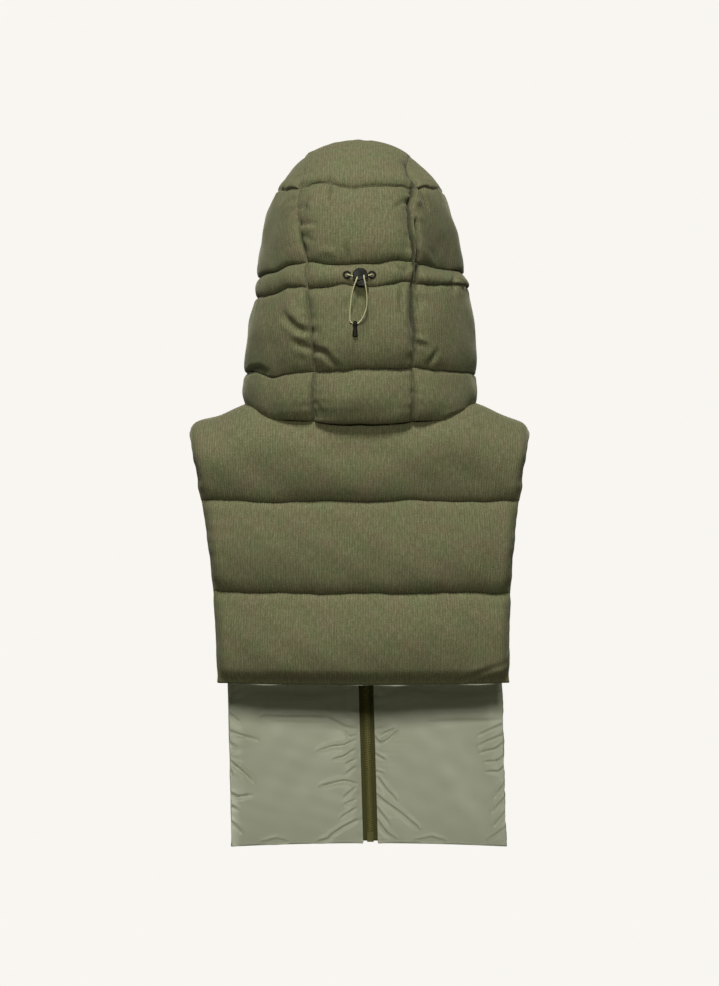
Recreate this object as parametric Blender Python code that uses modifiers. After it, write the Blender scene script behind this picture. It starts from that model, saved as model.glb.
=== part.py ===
"""Padded hooded bib: a quilted needlecord hood on a short back panel and a longer zipped front.

Metres, +Z up. The wearer faces +Y, so the back of the garment faces -Y. The origin is the middle of
the wearer's neck at the height of the shoulders, where the bib hangs.
Run with: blender --background --python part.py
"""

import math

import bmesh
import bpy
import numpy as np
from mathutils import Matrix, Vector

# ---------------------------------------------------------------- driving dimensions, in metres
SEAM_GAP = 0.0003  # between two pieces that are sewn together
SPLIT = Vector((0.0, 1.0, 0.37))  # two panels split the faces of a shared seam alike, along this
SEAM_THICK = 0.004  # a padded panel where it is stitched flat
HEM_THICK = 0.007  # a padded panel at a turned, bound edge
BODY_PUFF = (0.0095, 0.0035)  # how far the filling swells a body baffle outwards and inwards
HOOD_PUFF = (0.0080, 0.0040)
CROWN_PUFF = (0.0060, 0.0030)  # the tops of the hood's sides
CHANNEL_PUFF = (0.0045, 0.0015)  # the drawcord tunnel

# Heights of the stitched lines that cross the garment.
HOOD_LINES = (0.0378, 0.1370, 0.1627, 0.2518)  # collar, tunnel bottom, tunnel top, crown
BACK_LINES = (-0.1124, -0.2201)
FRONT_LINES = (-0.1124, -0.2201, -0.3280, -0.4360)
BACK_HEM = -0.3209
FRONT_HEM = -0.5375

# The neck seam in plan is an oval. The shoulder seams start at its two ends.
NECK_HALF_WIDTH = 0.121
NECK_BACK = 0.104
NECK_FRONT = 0.108
SHOULDER_HALF = 0.2022  # centre to the shoulder tip

# Depth of the body behind and in front of the neck, at its middle and how much it curves round.
BACK_DEPTH = 0.1150
FRONT_DEPTH = 0.1260
SIDE_WRAP = 0.042  # how much nearer the wearer's side the cloth is at the armhole
BACK_ARCH = 0.085  # height over which the cloth turns over the shoulder
FRONT_ARCH = 0.150
BACK_LEAN = 0.018  # the back hangs a little to +X, per metre below LEAN_START
FRONT_LEAN = 0.025
LEAN_START = -0.065
ZIP_LEAN = 0.18  # the zip leans this share more than the panels' outer edges
NECK_MITRE = 0.014  # how far from the neck seam its mitre reaches into the body
NECK_CLEAR = 0.034  # the filling thins out over this distance from the neck seam

# columns: height, half width of the body there (at the armhole edge)
BACK_WIDTHS = (
    (-0.3209, 0.1700),
    (-0.2500, 0.1722),
    (-0.1800, 0.1768),
    (-0.1100, 0.1862),
    (-0.0600, 0.1952),
    (-0.0240, 0.2022),
    (0.0200, 0.2022),
)
FRONT_WIDTHS = (
    (-0.5375, 0.1703),
    (-0.3200, 0.1700),
    (-0.2000, 0.1732),
    (-0.1100, 0.1850),
    (-0.0600, 0.1950),
    (-0.0200, 0.2030),
    (0.0200, 0.2030),
)
# columns: distance from the middle, height of the shoulder ridge
RIDGE = (
    (0.000, 0.0160),
    (0.121, 0.0035),
    (0.138, -0.0015),
    (0.155, -0.0070),
    (0.174, -0.0135),
    (0.190, -0.0200),
    (0.2022, -0.0280),
)
# The hood's outline seen from the side, as a line from the nape over the crown and down the open
# front to the throat. columns: y, z
HOOD_PROFILE = (
    (-0.104, -0.037),
    (-0.127, 0.004),
    (-0.134, 0.038),
    (-0.139, 0.085),
    (-0.135, 0.137),
    (-0.131, 0.163),
    (-0.124, 0.205),
    (-0.105, 0.252),
    (-0.072, 0.294),
    (-0.014, 0.319),
    (0.046, 0.317),
    (0.104, 0.294),
    (0.131, 0.242),
    (0.137, 0.180),
    (0.136, 0.110),
    (0.130, 0.0378),
    (0.121, -0.010),
    (0.108, -0.062),
)
HOOD_FOREHEAD = 11  # the row of HOOD_PROFILE where the gusset ends
HOOD_CORNER_Z = 0.283  # where a side panel's back edge becomes its top edge
HOOD_ROUND = 0.100  # depth over which a level of the hood rounds from its middle to its side
# columns: height, half width of the hood
HOOD_WIDTHS = (
    (-0.040, 0.1330),
    (0.0378, 0.1325),
    (0.077, 0.1275),
    (0.106, 0.1255),
    (0.137, 0.1215),
    (0.163, 0.1185),
    (0.192, 0.1118),
    (0.221, 0.1065),
    (0.250, 0.1030),
    (0.276, 0.1005),
    (0.300, 0.1030),
    (0.322, 0.1120),
)
# columns: height along the back, half width of the gusset
GUSSET_WIDTHS = ((-0.040, 0.0560), (0.060, 0.0570), (0.150, 0.0600), (0.250, 0.0620), (0.320, 0.0620))
# The edge of the face opening, from the chin to the forehead. columns: z, y
FACE_EDGE = (
    (0.0378, 0.1300),
    (0.0440, 0.1180),
    (0.0600, 0.1070),
    (0.0900, 0.1000),
    (0.1370, 0.0970),
    (0.2000, 0.0990),
    (0.2518, 0.1010),
)

# How each baffle and each panel is divided.
BAFFLE_ROWS = (0.0, 0.13, 0.37, 0.63, 0.87, 1.0)
LINING_ROWS = (0.0, 0.37, 0.87, 1.0)
TUNNEL_ROWS = (0.0, 0.3, 0.7, 1.0)
CAP_ROWS = (0.0, 0.35, 0.70, 1.0)
ACROSS_GUSSET = (-1.0, -0.70, -0.32, 0.32, 0.70, 1.0)
NECK_BACK_PART = (0.0, 0.15, 0.46, 0.77, 1.0)  # gusset seam to shoulder seam
NECK_FRONT_PART = (0.0, 0.16, 0.40, 0.65, 0.88, 1.0)  # shoulder seam to zip
SHOULDER_PART = (0.0, 0.35, 0.72, 0.93, 1.0)  # neck to shoulder tip
CROWN_LINE = 0.42  # share of the top seam at which the gusset has its last stitched line

# The zip.
ZIP_EDGE = 0.0096  # centre to the front panels' edges
TAPE_THICK = 0.0008
RAIL = (0.00015, 0.0034)  # one side's row of teeth, from the middle to its outer edge
RAIL_RISE = 0.0013
SLIDER_DROP = 0.0065  # the rows of teeth end this far below the tapes' tops
BOX_SIZE = (0.0084, 0.0034, 0.0130)  # the box at the zip's foot
TAPE_FOOT = 0.0033  # the tapes end this far above the hem
BOX_TOP = 0.0118  # above the tapes' feet
BARE_TAPE = (0.0046, 0.0054)  # where a tape has no teeth: its inner edge, and a little further out
LINING_EDGE = 0.0092
LINING_THICK = 0.0010
LINING_GAP = (0.0004, 0.0019)  # at its sewn edges, and in the middle
LINING_DROP = {"back": 0.0018, "front": -0.0010}  # below the shell's hem

# The slider at the throat, and its pull. Widths run along X, and the pull turns about a pin along X.
SLIDER_PLATE = (0.0090, 0.0013, 0.0110)
SLIDER_WEDGE = (0.0028, 0.0044)  # width, height
SLIDER_LUG = (0.0010, 0.0036, 0.0034)
LUG_X = 0.0026
PIN_OFF = 0.0053  # the pin's distance from the middle of the zip
PIN_R = 0.0008
PULL_HEAD_R = 0.0020
PULL_EYE_R = 0.0013
PULL_HEAD_WIDTH = 0.0030
PULL_THICK = 0.0016
# columns: distance below the pin, half width
PULL_OUTLINE = (
    (0.0008, 0.0015),
    (0.0044, 0.0015),
    (0.0062, 0.0031),
    (0.0250, 0.0031),
    (0.0274, 0.0022),
    (0.0282, 0.0010),
)

# The drawcord: two eyelets in the tunnel, a sprung lock, and an end piece that hangs on the loop.
EYELET_X = 0.0143
EYELET_Z = 0.1500
EYELET_RING = (0.0037, 0.0012)  # major and minor radius
EYELET_FLAT = 0.7
CORD_R = 0.0009
CORD_POINTS = 76
# columns: x, y, z
CORD_ROUTE = (
    (-0.0143, -0.1388, 0.1500),
    (-0.0143, -0.1398, 0.1500),
    (-0.0133, -0.1423, 0.1498),
    (-0.0107, -0.1433, 0.1492),
    (-0.0064, -0.1433, 0.1477),
    (-0.0038, -0.1444, 0.1467),
    (-0.0026, -0.1470, 0.1462),
    (-0.0026, -0.1506, 0.1462),
    (-0.0026, -0.1545, 0.1462),
    (-0.0028, -0.1571, 0.1451),
    (-0.0036, -0.1581, 0.1425),
    (-0.0058, -0.1577, 0.1370),
    (-0.0080, -0.1562, 0.1290),
    (-0.0096, -0.1545, 0.1195),
    (-0.0106, -0.1525, 0.1090),
    (-0.0109, -0.1512, 0.1012),
    (-0.0107, -0.1506, 0.0972),
    (-0.0096, -0.1505, 0.0948),
    (-0.0074, -0.1505, 0.0937),
    (-0.0050, -0.1505, 0.0936),
    (-0.0026, -0.1505, 0.0937),
    (-0.0006, -0.1505, 0.0946),
    (0.0013, -0.1506, 0.0965),
    (0.0037, -0.1510, 0.1002),
    (0.0060, -0.1518, 0.1050),
    (0.0078, -0.1529, 0.1107),
    (0.0084, -0.1543, 0.1180),
    (0.0080, -0.1562, 0.1285),
    (0.0066, -0.1577, 0.1380),
    (0.0054, -0.1582, 0.1437),
    (0.0051, -0.1572, 0.1470),
    (0.0051, -0.1545, 0.1480),
    (0.0051, -0.1506, 0.1480),
    (0.0051, -0.1470, 0.1480),
    (0.0061, -0.1444, 0.1482),
    (0.0085, -0.1433, 0.1486),
    (0.0108, -0.1433, 0.1492),
    (0.0133, -0.1423, 0.1498),
    (0.0143, -0.1398, 0.1500),
    (0.0143, -0.1388, 0.1500),
)
LOCK_CENTRE = (0.00125, -0.1506, 0.1471)
LOCK_TILT = 13.2  # degrees; its foot swings to +X
LOCK_THICK = 0.0072
LOCK_HOLE_X = 0.00395
LOCK_HOLE_R = 0.00130
# The lock's outline: half width, and heights of its top, shoulder, side and foot from its holes.
LOCK_HALF = 0.0085
LOCK_TOP = 0.0100
LOCK_SHOULDER = 0.0020
LOCK_SIDE = -0.0030
LOCK_FOOT = -0.0045
CAVITY = (0.0060, 0.0025, 0.0072)  # half width, half thickness, height above the holes
PLUNGER = (0.0057, 0.0022, 0.0042)
PLUNGER_FOOT = -0.0105
PLUNGER_TRAVEL = 0.0025
CORD_END_AT = (-0.0050, -0.1505)
CORD_END_HOLE_Z = 0.0936
# columns: height, radius
CORD_END_PROFILE = (
    (0.0785, 0.0000),
    (0.0785, 0.0026),
    (0.0791, 0.0031),
    (0.0806, 0.0031),
    (0.0850, 0.0026),
    (0.0886, 0.0023),
    (0.0905, 0.0024),
    (0.0920, 0.0027),
    (0.0937, 0.0028),
    (0.0953, 0.0025),
    (0.0963, 0.0015),
    (0.0966, 0.0000),
)

# ---------------------------------------------------------------- colours and finishes
CORD_CLOTH = ("needlecord", (0.125, 0.121, 0.060), 0.90, 0.0)
LINING_CLOTH = ("lining", (0.290, 0.305, 0.225), 0.50, 0.0)
TAPE_CLOTH = ("zip_tape", (0.050, 0.050, 0.018), 0.80, 0.0)
BLACK_PLASTIC = ("black_plastic", (0.012, 0.012, 0.011), 0.35, 0.0)
DARK_METAL = ("dark_metal", (0.060, 0.058, 0.052), 0.35, 1.0)
ELASTIC = ("elastic_cord", (0.230, 0.225, 0.120), 0.75, 0.0)


# ---------------------------------------------------------------- small tools
def interpolate(table, at):
    """A smooth value between the rows of a two-column table, which never overshoots them."""
    xs = np.array([row[0] for row in table])
    ys = np.array([row[1] for row in table])
    slopes = np.diff(ys) / np.diff(xs)
    tangents = np.zeros(len(xs))
    tangents[0], tangents[-1] = slopes[0], slopes[-1]
    for i in range(1, len(xs) - 1):
        if slopes[i - 1] * slopes[i] > 0:
            tangents[i] = 2 / (1 / slopes[i - 1] + 1 / slopes[i])
    at = float(np.clip(at, xs[0], xs[-1]))
    i = int(np.clip(np.searchsorted(xs, at) - 1, 0, len(xs) - 2))
    width = xs[i + 1] - xs[i]
    t = (at - xs[i]) / width
    return float(
        ys[i] * (2 * t**3 - 3 * t**2 + 1)
        + ys[i + 1] * (3 * t**2 - 2 * t**3)
        + width * tangents[i] * (t**3 - 2 * t**2 + t)
        + width * tangents[i + 1] * (t**3 - t**2)
    )


def smooth_line(points, steps=12):
    """A Catmull-Rom curve through the points."""
    points = np.array(points, float)
    ends = np.vstack([2 * points[0] - points[1], points, 2 * points[-1] - points[-2]])
    line = []
    for a, b, c, d in zip(ends, ends[1:], ends[2:], ends[3:]):
        for k in range(steps):
            t = k / steps
            square = (2 * a - 5 * b + 4 * c - d) * t**2
            cube = (3 * b - a - 3 * c + d) * t**3
            line.append(0.5 * (2 * b + (c - a) * t + square + cube))
    line.append(points[-1])
    return np.array(line)


def lengths_along(line):
    return np.concatenate([[0.0], np.cumsum(np.linalg.norm(np.diff(line, axis=0), axis=1))])


def at_shares(line, shares):
    """Points of a line at these shares of its length."""
    along = lengths_along(line)
    stops = np.array(shares) * along[-1]
    return np.column_stack([np.interp(stops, along, column) for column in line.T])


def unit(v):
    v = np.array(v, float)
    return v / max(np.linalg.norm(v), 1e-12)


def swell(share):
    """How full a baffle is between its two stitched lines: 0 on a line, 1 midway."""
    return (4 * share * (1 - share)) ** 0.62


def edge_swell(distance, reach=0.030):
    """How full a panel is near a seam or an edge that crosses the baffles."""
    return math.sin(0.5 * math.pi * min(1.0, distance / reach))


# ---------------------------------------------------------------- the body's form
def neck_point(angle):
    """The neck seam in plan. Angle 0 is the middle of the back, 90 the shoulder, 180 the front."""
    a = math.radians(angle)
    depth = NECK_BACK if angle <= 90 else NECK_FRONT
    return NECK_HALF_WIDTH * math.sin(a), -depth * math.cos(a)


def body_depth(x, front):
    """The depth of the cloth from the neck's middle, on the straight part below the shoulder."""
    middle = FRONT_DEPTH if front else BACK_DEPTH
    return middle - SIDE_WRAP * (x / SHOULDER_HALF) ** 2


def body_path(top_x, front, steps=40):
    """One upright line of the body's cloth: from the shoulder ridge, over the arch and down to the hem."""
    hem = FRONT_HEM if front else BACK_HEM
    widths = FRONT_WIDTHS if front else BACK_WIDTHS
    arch = FRONT_ARCH if front else BACK_ARCH
    way = 1 if front else -1
    ridge = interpolate(RIDGE, abs(top_x))
    edge = ZIP_EDGE if front else 0.0
    share = (abs(top_x) - edge) / (SHOULDER_HALF - edge)
    line = []
    for k in range(2 * steps + 1):
        turn = 0.5 * math.pi * min(1, k / steps)
        z = ridge - arch * (1 - math.cos(turn))
        z += (hem - ridge + arch) * max(0, k / steps - 1)
        x = math.copysign(edge + share * (interpolate(widths, z) - edge), top_x)
        line.append((x, way * body_depth(x, front) * math.sin(turn), z))
    return np.array(line)


def path_share(line, column, value):
    """The share of a line's length at which one of its coordinates first passes a value."""
    along = lengths_along(line)
    order = np.argsort(line[:, column])
    return float(np.interp(value, line[order, column], along[order]) / along[-1])


def neck_share(line, angle):
    """Where an upright line of the body meets the neck seam."""
    depth = abs(neck_point(angle)[1])
    order = np.argsort(np.abs(line[:41, 1]))
    along = lengths_along(line)
    return float(np.interp(depth, np.abs(line[order, 1]), along[order]) / along[-1])


def lean(points, front):
    """Moves points of the body sideways, as it hangs."""
    points = np.array(points, float)
    low = np.maximum(0, LEAN_START - points[..., 2])
    if front:
        near_zip = 1 + ZIP_LEAN * np.maximum(0, 1 - np.abs(points[..., 0]) / 0.17)
        points[..., 0] += FRONT_LEAN * low * near_zip
    else:
        points[..., 0] += BACK_LEAN * low
    return points


def body_grid(top_xs, neck_angles, lines, front, divisions=BAFFLE_ROWS):
    """Rows from the hem to the top edge, before the body leans, and each row's share of its baffle."""
    hem = FRONT_HEM if front else BACK_HEM
    heights = [hem, *reversed(lines)]
    columns, shares = [], []
    for top_x, angle in zip(top_xs, neck_angles):
        path = body_path(top_x, front)
        stops = [path_share(path, 2, z) for z in heights]
        stops.append(0.0 if angle is None else neck_share(path, angle))
        column, shares = [], []
        for low, high in zip(stops, stops[1:]):
            rows = divisions if not shares else divisions[1:]
            column += [at_shares(path, [low + (high - low) * r])[0] for r in rows]
            shares += list(rows)
        columns.append(column)
    return np.array(columns).transpose(1, 0, 2), shares


# ---------------------------------------------------------------- the hood's form
PROFILE = smooth_line(HOOD_PROFILE)
PROFILE_ALONG = lengths_along(PROFILE)
PROFILE_OUT = np.array([unit((t[1], -t[0])) for t in np.gradient(PROFILE, axis=0)]) * -1.0
PROFILE_STEPS = 12


def profile_at(along):
    """The hood's outline at a distance along it, and the direction straight out of the hood there."""
    point = np.array([np.interp(along, PROFILE_ALONG, PROFILE[:, k]) for k in (0, 1)])
    out = unit([np.interp(along, PROFILE_ALONG, PROFILE_OUT[:, k]) for k in (0, 1)])
    return point, out


def along_at_height(z):
    """The distance along the outline at which its back reaches a height."""
    back = int(np.argmax(PROFILE[:, 1]))
    return float(np.interp(z, PROFILE[:back, 1], PROFILE_ALONG[:back]))


FOREHEAD_ALONG = float(PROFILE_ALONG[HOOD_FOREHEAD * PROFILE_STEPS])


def gusset_point(share, along):
    """A point of the gusset, and the direction out of it. Share runs from -1 to 1 across it."""
    middle, out = profile_at(along)
    half = interpolate(HOOD_WIDTHS, middle[1])
    x = share * interpolate(GUSSET_WIDTHS, middle[1])
    left = math.sqrt(1 - (x / half) ** 2)
    y, z = middle - out * HOOD_ROUND * (1 - left)
    normal = unit((x / half**2, out[0] * left / HOOD_ROUND, out[1] * left / HOOD_ROUND))
    return np.array((x, y, z)), normal


def side_point(y, z):
    """The point of the hood's side over a place in its outline, and the direction out of it."""
    apart = np.linalg.norm(PROFILE - (y, z), axis=1)
    nearest = int(np.argmin(apart))
    depth = min(float(apart[nearest]), HOOD_ROUND)
    left = 1 - depth / HOOD_ROUND
    half = interpolate(HOOD_WIDTHS, z)
    x = half * math.sqrt(1 - left**2)
    out = PROFILE_OUT[nearest]
    return np.array((x, y, z)), unit((x / half**2, out[0] * left / HOOD_ROUND, out[1] * left / HOOD_ROUND))


def face_edge(z):
    return interpolate(FACE_EDGE, z)


def side_row(start, line, end, shares):
    """One row of a side panel: over a line in the outline, from the gusset's edge to the front edge."""
    dense = np.array([side_point(*p)[0] for p in line])
    dense[0] = start
    if end is not None:
        dense[-1] = end
    points = at_shares(dense, shares)
    normals = [side_point(p[1], p[2])[1] for p in points]
    return points, normals


# ---------------------------------------------------------------- shared divisions
GUSSET_ANGLE = math.degrees(math.asin(GUSSET_WIDTHS[0][1] / NECK_HALF_WIDTH))
ZIP_ANGLE = 180 - math.degrees(math.asin(ZIP_EDGE / NECK_HALF_WIDTH))
SIDE_ANGLES = [GUSSET_ANGLE + (90 - GUSSET_ANGLE) * s for s in NECK_BACK_PART]
SIDE_ANGLES += [90 + (ZIP_ANGLE - 90) * s for s in NECK_FRONT_PART[1:]]
SIDE_SHARES = [(a - GUSSET_ANGLE) / (ZIP_ANGLE - GUSSET_ANGLE) for a in SIDE_ANGLES]
SHOULDER_XS = [NECK_HALF_WIDTH + (SHOULDER_HALF - NECK_HALF_WIDTH) * s for s in SHOULDER_PART]


def neck_seam(angle):
    """A point of the neck seam, on the body's form, and the level direction out of it."""
    x, y = neck_point(angle)
    depth = NECK_BACK if angle <= 90 else NECK_FRONT
    path = body_path(x, angle > 90)
    share = 0.0 if abs(angle - 90) < 1e-6 else neck_share(path, angle)
    return at_shares(path, [share])[0], unit((x / NECK_HALF_WIDTH**2, y / depth**2, 0))


# ---------------------------------------------------------------- making objects
def material(finish):
    name, colour, roughness, metallic = finish
    made = bpy.data.materials.get(name)
    if made is None:
        made = bpy.data.materials.new(name)
        made.use_nodes = True
        shader = made.node_tree.nodes["Principled BSDF"]
        shader.inputs["Base Color"].default_value = (*colour, 1)
        shader.inputs["Roughness"].default_value = roughness
        shader.inputs["Metallic"].default_value = metallic
        made.diffuse_color = (*colour, 1)
    return made


def add_object(name, mesh, finish, collection):
    made = bpy.data.objects.new(name, mesh)
    made.data.materials.append(material(finish))
    collection.objects.link(made)
    return made


def panel_solid(name, grid, normals, outer, inner, finish, collection):
    """A padded wall: a grid of points on its middle, and how far it swells to either side."""
    grid, normals = np.array(grid, float), np.array(normals, float)
    rows, columns = grid.shape[:2]
    inset = grid.copy()
    for edge, inside in ((0, 1), (-1, -2)):
        inset[edge] += 0.5 * SEAM_GAP * np.array([unit(v) for v in grid[inside] - grid[edge]])
        inset[:, edge] += 0.5 * SEAM_GAP * np.array([unit(v) for v in grid[:, inside] - grid[:, edge]])
    bm = bmesh.new()
    sides = []
    for offset in (np.array(outer), -np.array(inner)):
        points = inset + normals * offset[:, :, None]
        sides.append([[bm.verts.new(p) for p in row] for row in points])
    front, back = sides
    for i in range(rows - 1):
        for j in range(columns - 1):
            bm.faces.new((front[i][j], front[i][j + 1], front[i + 1][j + 1], front[i + 1][j]))
            bm.faces.new((back[i][j], back[i + 1][j], back[i + 1][j + 1], back[i][j + 1]))
    around = [(0, j) for j in range(columns)] + [(i, columns - 1) for i in range(1, rows)]
    around += [(rows - 1, j) for j in range(columns - 2, -1, -1)] + [(i, 0) for i in range(rows - 2, 0, -1)]
    for (i, j), (k, m) in zip(around, around[1:] + around[:1]):
        if front[i][j].co @ SPLIT < front[k][m].co @ SPLIT:
            i, j, k, m = k, m, i, j
        bm.faces.new((front[i][j], back[i][j], front[k][m]))
        bm.faces.new((back[i][j], back[k][m], front[k][m]))
    bmesh.ops.recalc_face_normals(bm, faces=bm.faces)
    mesh = bpy.data.meshes.new(name)
    bm.to_mesh(mesh)
    bm.free()
    mesh.shade_smooth()
    mesh.set_sharp_from_angle(angle=math.radians(40))
    return add_object(name, mesh, finish, collection)


def grid_normals(grid, out):
    """Directions out of a grid of points, on the side that a rough direction shows."""
    down, across = np.gradient(grid, axis=0), np.gradient(grid, axis=1)
    normals = np.cross(down, across)
    normals /= np.linalg.norm(normals, axis=2)[:, :, None]
    flip = np.sign((normals * out).sum(axis=2))
    return normals * flip[:, :, None]


# ---------------------------------------------------------------- body panels
def neck_line():
    """Points round the whole neck seam, and the level directions out of it."""
    half = [neck_seam(a) for a in range(0, 181, 3)]
    points = [p for p, _ in half] + [p * (-1, 1, 1) for p, _ in half]
    outs = [n for _, n in half] + [n * (-1, 1, 1) for _, n in half]
    return np.array(points), np.array(outs)


def level_near_neck(grid, normals):
    """Close to the neck seam the wall is measured level, so that it meets the hood in a mitre."""
    seam, outs = neck_line()
    for i in range(grid.shape[0]):
        for j in range(grid.shape[1]):
            apart = np.linalg.norm(seam - grid[i, j], axis=1)
            nearest = int(np.argmin(apart))
            share = min(1.0, float(apart[nearest]) / NECK_MITRE)
            normals[i, j] = unit(outs[nearest] * (1 - share) + normals[i, j] * share)


def body_offsets(grid, shares, puff, edges):
    """How far a body panel swells at each point, from its share of the baffle and its side edges."""
    seam = neck_line()[0]
    offsets = np.zeros(grid.shape[:2])
    for i, share in enumerate(shares):
        along = lengths_along(grid[i])
        for j in range(grid.shape[1]):
            fullness = swell(share)
            for edge in edges:
                fullness *= edge_swell(abs(along[j] - along[edge]), 0.018)
            apart = float(np.linalg.norm(seam - grid[i, j], axis=1).min())
            offsets[i, j] = puff * fullness * edge_swell(apart, NECK_CLEAR) ** 2
    return offsets


def thickness(offsets, thick_columns=(), hem=True):
    """Adds the stitched cloth's own thickness, and a turned edge's at a hem and at open sides."""
    thick = np.full(offsets.shape, SEAM_THICK / 2)
    if hem:
        thick[0] = HEM_THICK / 2
    for column in thick_columns:
        thick[:, column] = HEM_THICK / 2
    return np.maximum(thick, offsets + SEAM_THICK / 2)


def back_grid(divisions=BAFFLE_ROWS):
    """The middle of the back panel, from one armhole to the other."""
    gusset_xs = [s * GUSSET_WIDTHS[0][1] for s in ACROSS_GUSSET]
    right = [(neck_point(a)[0], a) for a in SIDE_ANGLES[1:len(NECK_BACK_PART)]]
    right[-1] = (NECK_HALF_WIDTH, None)
    right += [(x, None) for x in SHOULDER_XS[1:]]
    middle = [(x, math.degrees(math.asin(abs(x) / NECK_HALF_WIDTH))) for x in gusset_xs]
    columns = [(-x, a) for x, a in reversed(right)] + middle + right
    tops, angles = [c[0] for c in columns], [c[1] for c in columns]
    grid, shares = body_grid(tops, angles, BACK_LINES, False, divisions)
    grid = lean(grid, False)
    normals = grid_normals(grid, (0, -1, 0.6))
    top_edge_normals(normals, columns)
    level_near_neck(grid, normals)
    return grid, normals, shares


def back_panel(collection):
    grid, normals, shares = back_grid()
    out = thickness(body_offsets(grid, shares, BODY_PUFF[0], (0, -1)), (0, -1))
    into = thickness(body_offsets(grid, shares, BODY_PUFF[1], (0, -1)), (0, -1))
    return panel_solid("back_panel", grid, normals, out, into, CORD_CLOTH, collection)


def top_edge_normals(normals, columns):
    """At the neck seam the wall ends level, and at the shoulder seam it ends square to the ridge."""
    for j, (x, angle) in enumerate(columns):
        if angle is not None or abs(x) <= NECK_HALF_WIDTH:
            normals[-1, j] = neck_seam(angle or 90)[1] * (math.copysign(1, x), 1, 1)
        else:
            step = 0.004
            rise = interpolate(RIDGE, abs(x) + step) - interpolate(RIDGE, abs(x) - step)
            normals[-1, j] = unit((-rise / (2 * step) * math.copysign(1, x), 0, 1))


def front_grid(sign, divisions=BAFFLE_ROWS):
    """The middle of one front panel, from the zip to the armhole."""
    neck = [(neck_point(a)[0], a) for a in SIDE_ANGLES[len(NECK_BACK_PART):]]
    columns = list(reversed(neck)) + [(x, None) for x in SHOULDER_XS]
    tops, angles = [c[0] for c in columns], [c[1] for c in columns]
    grid, shares = body_grid(tops, angles, FRONT_LINES, True, divisions)
    grid = lean(grid * (sign, 1, 1), True)
    normals = grid_normals(grid, (0, 1, 0.6))
    top_edge_normals(normals, [(sign * x, a) for x, a in columns])
    level_near_neck(grid, normals)
    return grid, normals, shares


def front_panel(name, sign, collection):
    grid, normals, shares = front_grid(sign)
    out = thickness(body_offsets(grid, shares, BODY_PUFF[0], (0, -1)), (-1,))
    into = thickness(body_offsets(grid, shares, BODY_PUFF[1], (0, -1)), (-1,))
    return panel_solid(name, grid, normals, out, into, CORD_CLOTH, collection)


def lining(name, grid, normals, thick_columns, drop, collection):
    """The lining hangs inside a body panel, sewn to it at its edges and clear of its filling."""
    fullness = np.zeros(grid.shape[:2])
    for i in range(grid.shape[0]):
        along = lengths_along(grid[i])
        for j in range(grid.shape[1]):
            fullness[i, j] = edge_swell(along[j], 0.018) * edge_swell(along[-1] - along[j], 0.018)
    fullness[0] = fullness[-1] = 0
    behind = thickness(BODY_PUFF[1] * fullness, thick_columns)
    gap = LINING_GAP[0] + (LINING_GAP[1] - LINING_GAP[0]) * fullness
    far = -(behind + gap)
    near = behind + gap + LINING_THICK
    grid[0, :, 2] -= drop
    return panel_solid(name, grid, normals, far, near, LINING_CLOTH, collection)


def front_lining(name, sign, collection):
    grid, normals, _ = front_grid(sign, LINING_ROWS)
    grid[:, 0, 0] += sign * (LINING_EDGE - ZIP_EDGE)
    return lining(name, grid, normals, (-1,), LINING_DROP["front"], collection)


def back_lining(collection):
    grid, normals, _ = back_grid(LINING_ROWS)
    return lining("back_lining", grid, normals, (0, -1), LINING_DROP["back"], collection)


# ---------------------------------------------------------------- hood panels
def roll_row(low, low_out, high, high_out, share):
    """A point of the collar roll: it leaves the neck seam outwards and ends upright."""
    point = low + (high - low) * np.array((1 - (1 - share) ** 2.2,) * 2 + (share,))
    return point, unit((1 - share) * low_out + share * high_out)


def hood_stops():
    """Distances along the outline where the gusset's stitched lines are, and where its corner is."""
    lines = [along_at_height(z) for z in HOOD_LINES]
    corner = along_at_height(HOOD_CORNER_Z)
    crown = corner + (FOREHEAD_ALONG - corner) * CROWN_LINE
    return lines, corner, crown


def gusset_rows():
    """The gusset's rows above the collar roll, each with how full it is and which puff it has."""
    lines, corner, crown = hood_stops()
    rows = []
    for k, divisions in enumerate((BAFFLE_ROWS, TUNNEL_ROWS, BAFFLE_ROWS)):
        puff = CHANNEL_PUFF if k == 1 else HOOD_PUFF
        for r in divisions[1:]:
            rows.append((lines[k] + (lines[k + 1] - lines[k]) * r, swell(r), puff))
    cap = [lines[3] + (corner - lines[3]) * r for r in CAP_ROWS[1:]]
    cap += [corner + (FOREHEAD_ALONG - corner) * s for s in SIDE_SHARES[1:]]
    for along in cap:
        low, high = (lines[3], crown) if along < crown else (crown, FOREHEAD_ALONG)
        rows.append((along, swell((along - low) / (high - low)), HOOD_PUFF))
    return rows


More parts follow.
